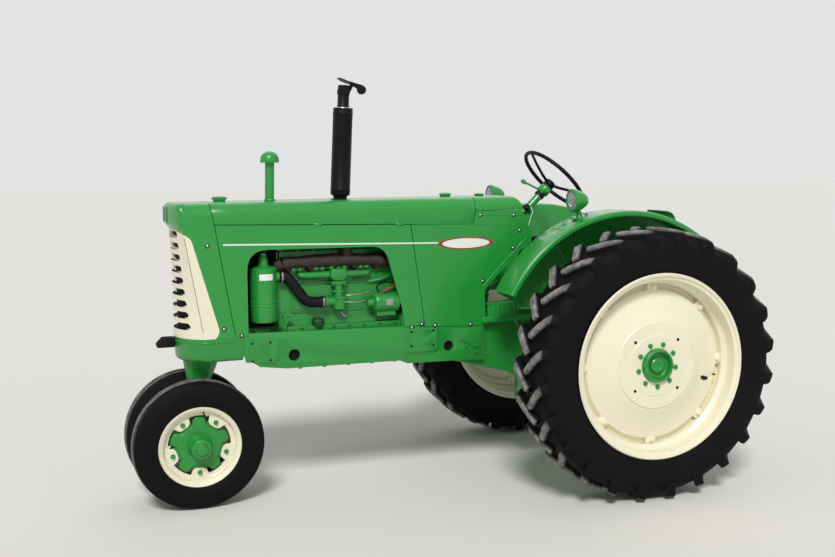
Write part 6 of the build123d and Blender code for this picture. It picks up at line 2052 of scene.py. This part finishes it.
        # Throttle lever that reaches forwards and to the right under the wheel.
        column.tube([(198, 0, 1693), (222, -40, 1702), (246, -110, 1728), (262, -150, 1742)], 7, 24, 12)
        column.lathe([(0, 0.1), (0, 8), (6, 12), (30, 14), (36, 11), (38, 0.1)],
                     facing((254, -134, 1736), (16, -40, 18)), 20)
        column.lathe([(0, 0.1), (0, 15), (10, 18), (24, 18), (30, 12), (31, 0.1)],
                     facing((196, 22, 1690), (0, 1, 0.1)), 24)
        column.tube([(330, 36, 1595), (322, 60, 1602), (314, 80, 1570), (449, 150, 1275), (429, 160, 1008)],
                    9, 50, 14)
        column.piece("column_tube", GREEN_SHEET, ("steering_column",), 36)
        boot = Draft()
        boot.lathe([(-152, 24.5), (-150, 30), (-140, 31), (-130, 30), (-126, 24.5)], place, 32)
        boot.lathe([(0, 0.1), (0, 16), (10, 20), (26, 18), (32, 8), (33, 0.1)],
                   facing((345, 60, 1585), (0.3, 0.6, 0.6)), 20)
        boot.piece("column_boot", BLACK_RUBBER)
        softened("levers", BLACK_PAINT, 0.0)

    def floor(self) -> None:
        """Platform plates with their tread bars, and the ribbed step boxes."""
        for side in Side:
            softened(f"platform_{side.word}", GREEN_SHEET, 2)
            draft = Draft()
            for index in range(9):
                x = -120 + index * 60
                draft.box((x, 240, 945.5), (x + 12, 425, 949.5))
            draft.box((486, 196, 955), (680, 236, 1040))
            for index in range(5):
                draft.box((500 + index * 34, 234, 962), (520 + index * 34, 240, 1033))
            draft.box((480, 194, 1038), (686, 238, 1050))
            draft.on(side).piece(f"platform_ribs_{side.word}", GREEN_SHEET)

    def build(self) -> None:
        """Build the driver's place."""
        for side in Side:
            self.fender(side)
        self.lamps()
        self.seat()
        self.column()
        self.floor()


@dataclass
class Stacks:
    """Muffler, tail pipe and rain cap, leaning a little to the rear."""

    muffler_x: float = 1500.0
    low_z: float = 1690.0
    top_z: float = 2185.0
    radius: float = 56.0
    pipe_r: float = 33.0
    pipe_top_z: float = 2312.0
    lean: float = math.radians(3.0)
    cap_open: float = math.radians(24.0)

    def axis(self, z: float) -> Vector:
        """Point of the leaning axis at a height."""
        return Vector((self.muffler_x - (z - self.low_z) * math.tan(self.lean), 0, z))

    def build(self) -> None:
        """Build the muffler with its pipe, clamp and rain cap."""
        place = facing(self.axis(self.low_z), (-math.sin(self.lean), 0, math.cos(self.lean)))
        long = (self.top_z - self.low_z) / math.cos(self.lean)
        end = (self.pipe_top_z - self.low_z) / math.cos(self.lean)
        r, p = self.radius, self.pipe_r
        muffler = Draft()
        muffler.lathe([(-42, 0.1), (-42, 38), (-14, 38), (-12, 40), (-3, 41), (0, r - 6), (4, r), (26, r),
                       (29, r + 1.5), (34, r + 1.5), (37, r), (long - 37, r), (long - 34, r + 1.5),
                       (long - 29, r + 1.5), (long - 26, r), (long - 3, r), (long, r - 3),
                       (long + 3, r - 14), (long + 5, p + 3), (long + 16, p + 1), (long + 18, p), (end, p),
                       (end, p - 3), (long + 10, p - 3), (long + 8, 0.1)], place, 64)
        muffler.piece("muffler_can", BLACK_PAINT, ("muffler",), 34)
        ring = Draft()
        ring.lathe([(-34, 38.5), (-34, 52), (-30, 55), (-22, 55), (-20, 52), (-20, 38.5)], place, 48)
        ring.box((36, -9, -34), (72, 9, -20), place)
        ring.piece("muffler_clamp", BLACK_RUBBER)
        # A bright steel ring round the can's top shoulder is a painted highlight.
        bright = Draft()
        bright.lathe([(long - 2.5, r - 0.6), (long + 1, r - 1.6), (long + 5.2, r - 13),
                      (long + 4.4, r - 16)], place, 64)
        bright.piece("muffler_highlight_ring", BARE_STEEL)
        self.rain_cap(place, end)

    def rain_cap(self, place: Matrix, end: float) -> None:
        """Rain cap with its weighted arm and the ears that hold it.

        Args:
            place: The muffler's placement.
            end: Length from there to the tail pipe's tip.
        """
        p = self.pipe_r
        tip = self.axis(self.pipe_top_z)
        hinge = Vector((tip.x - p - 14, 0, tip.z + 8))
        ears = Draft()
        ears.lathe([(end - 52, p), (end - 52, p + 3.5), (end - 24, p + 3.5), (end - 24, p)], place, 40)
        for y in (-9, 9):
            outline = [(tip.x - p + 2, tip.z - 44), (tip.x - p - 2, tip.z - 12), (hinge.x + 7, hinge.z + 6),
                       (hinge.x - 7, hinge.z + 7), (hinge.x - 8, hinge.z - 8)]
            ears.slab(rounded(outline, 5, 3), y - 2, y + 2)
        ears.tube([(hinge.x, -15, hinge.z), (hinge.x, 15, hinge.z)], 4, sides=14)
        ears.piece("cap_hinge_ears", BLACK_PAINT)
        cap = Draft()
        lift = Matrix.Rotation(-self.cap_open, 4, "Y")
        turn = Matrix.Translation(hinge) @ lift @ Matrix.Translation(-hinge)
        cap.lathe([(4, 0.1), (4, 34), (2, 37), (3, 40), (6, 40), (9, 36), (11, 12), (11, 0.1)],
                  turn @ Matrix.Translation((tip.x + 2, 0, tip.z)), 40)
        # Cast arm from the weight over the hinge to the lid: place, foot and head about the hinge's height.
        arm = ((-66, -14, 21), (-46, -12, 19), (-22, -9, 15), (0, -7, 12), (24, -4, 8),
               (tip.x + 10 - hinge.x, -4, 3))
        rings = []
        for along, low, top in arm:
            ring = ((-6.2, low), (6.2, low), (6.2, top - 2), (4, top), (-4, top), (-6.2, top - 2))
            rings.append([turn @ Vector((hinge.x + along, y, hinge.z + z)) for y, z in ring])
        cap.loft(rings)
        cap.lathe([(-12, 0.1), (-12, 22), (-9, 25.5), (9, 25.5), (12, 22), (12, 0.1)],
                  turn @ facing((hinge.x - 66, 0, tip.z + 2), (0, 1, 0)), 36)
        cap.piece("rain_cap_lid", BLACK_PAINT, ("rain_cap",), 36, body="rain_cap")


@dataclass
class Studio:
    """Plain floor, soft lights and the photograph's camera."""

    lens: float = 49.3
    position: tuple[float, float, float] = (2.4408, 6.2972, 1.9112)
    right: tuple[float, float, float] = (-0.93538, 0.35352, -0.00962)
    up: tuple[float, float, float] = (-0.04671, -0.09655, 0.99423)
    floor: str = "e6e4df"
    sun_from: tuple[float, float, float] = (2.6, 6.0, 6.2)
    sun_power: float = 2.35
    fill_from: tuple[float, float, float] = (-4.0, -6.0, 5.0)
    fill_power: float = 0.3
    ambient: float = 0.42
    backdrop: float = 0.86

    def stage(self) -> None:
        """Pale floor that the machine stands on."""
        mesh = bpy.data.meshes.new("floor")
        size = 60.0
        corners = [(-size, -size, 0), (size, -size, 0), (size, size, 0), (-size, size, 0)]
        mesh.from_pydata(corners, [], [(0, 1, 2, 3)])
        plane = bpy.data.objects.new("floor", mesh)
        bpy.context.scene.collection.objects.link(plane)
        material = bpy.data.materials.new("pale_floor")
        material.use_nodes = True
        tree = material.node_tree
        tree.nodes.clear()
        shader = add_node(tree, "ShaderNodeBsdfPrincipled",
                          {"Roughness": 0.9, "Base Color": linear(self.floor)})
        add_node(tree, "ShaderNodeOutputMaterial", links={"Surface": shader.outputs["BSDF"]})
        mesh.materials.append(material)

    def lights(self) -> None:
        """A pale world, a broad soft main light and a fill from behind."""
        world = bpy.data.worlds.new("studio")
        bpy.context.scene.world = world
        world.use_nodes = True
        tree = world.node_tree
        tree.nodes.clear()
        rays = add_node(tree, "ShaderNodeLightPath")
        seen = rays.outputs["Is Camera Ray"]
        for kind in ("Is Glossy Ray", "Is Transmission Ray"):
            either = add_node(tree, "ShaderNodeMath", {"operation": "MAXIMUM"},
                              {0: seen, 1: rays.outputs[kind]})
            seen = either.outputs["Value"]
        strength = add_node(tree, "ShaderNodeMapRange", {"To Min": self.ambient, "To Max": self.backdrop},
                            {"Value": seen})
        back = add_node(tree, "ShaderNodeBackground", {"Color": linear("f2f3f4")},
                        {"Strength": strength.outputs["Result"]})
        add_node(tree, "ShaderNodeOutputWorld", links={"Surface": back.outputs["Background"]})
        for name, place, power, spread in (("key", self.sun_from, self.sun_power, 14.0),
                                           ("fill", self.fill_from, self.fill_power, 60.0)):
            data = bpy.data.lights.new(name, "SUN")
            data.energy = power
            data.angle = math.radians(spread)
            lamp = bpy.data.objects.new(name, data)
            lamp.location = place
            lamp.rotation_euler = (-Vector(place)).to_track_quat("-Z", "Y").to_euler()
            bpy.context.scene.collection.objects.link(lamp)

    def camera(self) -> None:
        """Camera at the photograph's place and angle."""
        data = bpy.data.cameras.new("camera")
        data.lens = self.lens
        data.sensor_width = 36.0
        data.clip_end = 200.0
        camera = bpy.data.objects.new("camera", data)
        right, up = Vector(self.right).normalized(), Vector(self.up)
        back = right.cross(up).normalized()
        up = back.cross(right)
        turn = Matrix((right, up, back)).transposed().to_4x4()
        camera.matrix_world = Matrix.Translation(self.position) @ turn
        bpy.context.scene.collection.objects.link(camera)
        bpy.context.scene.camera = camera

    def build(self) -> None:
        """Build the studio."""
        self.stage()
        self.lights()
        self.camera()


def main() -> None:
    """Build the whole scene in order."""
    logging.basicConfig(level=logging.INFO, format="%(message)s")
    bpy.context.scene.view_settings.view_transform = "Standard"
    Studio().build()
    nose = Nose()
    nose.build()
    Bodywork().build(nose)
    Engine().build()
    Chassis().build(nose)
    DriversPlace().build()
    Stacks().build()
    for side in Side:
        RearWheel(side).build()
        FrontWheel(side).build()


if __name__ == "__main__":
    main()
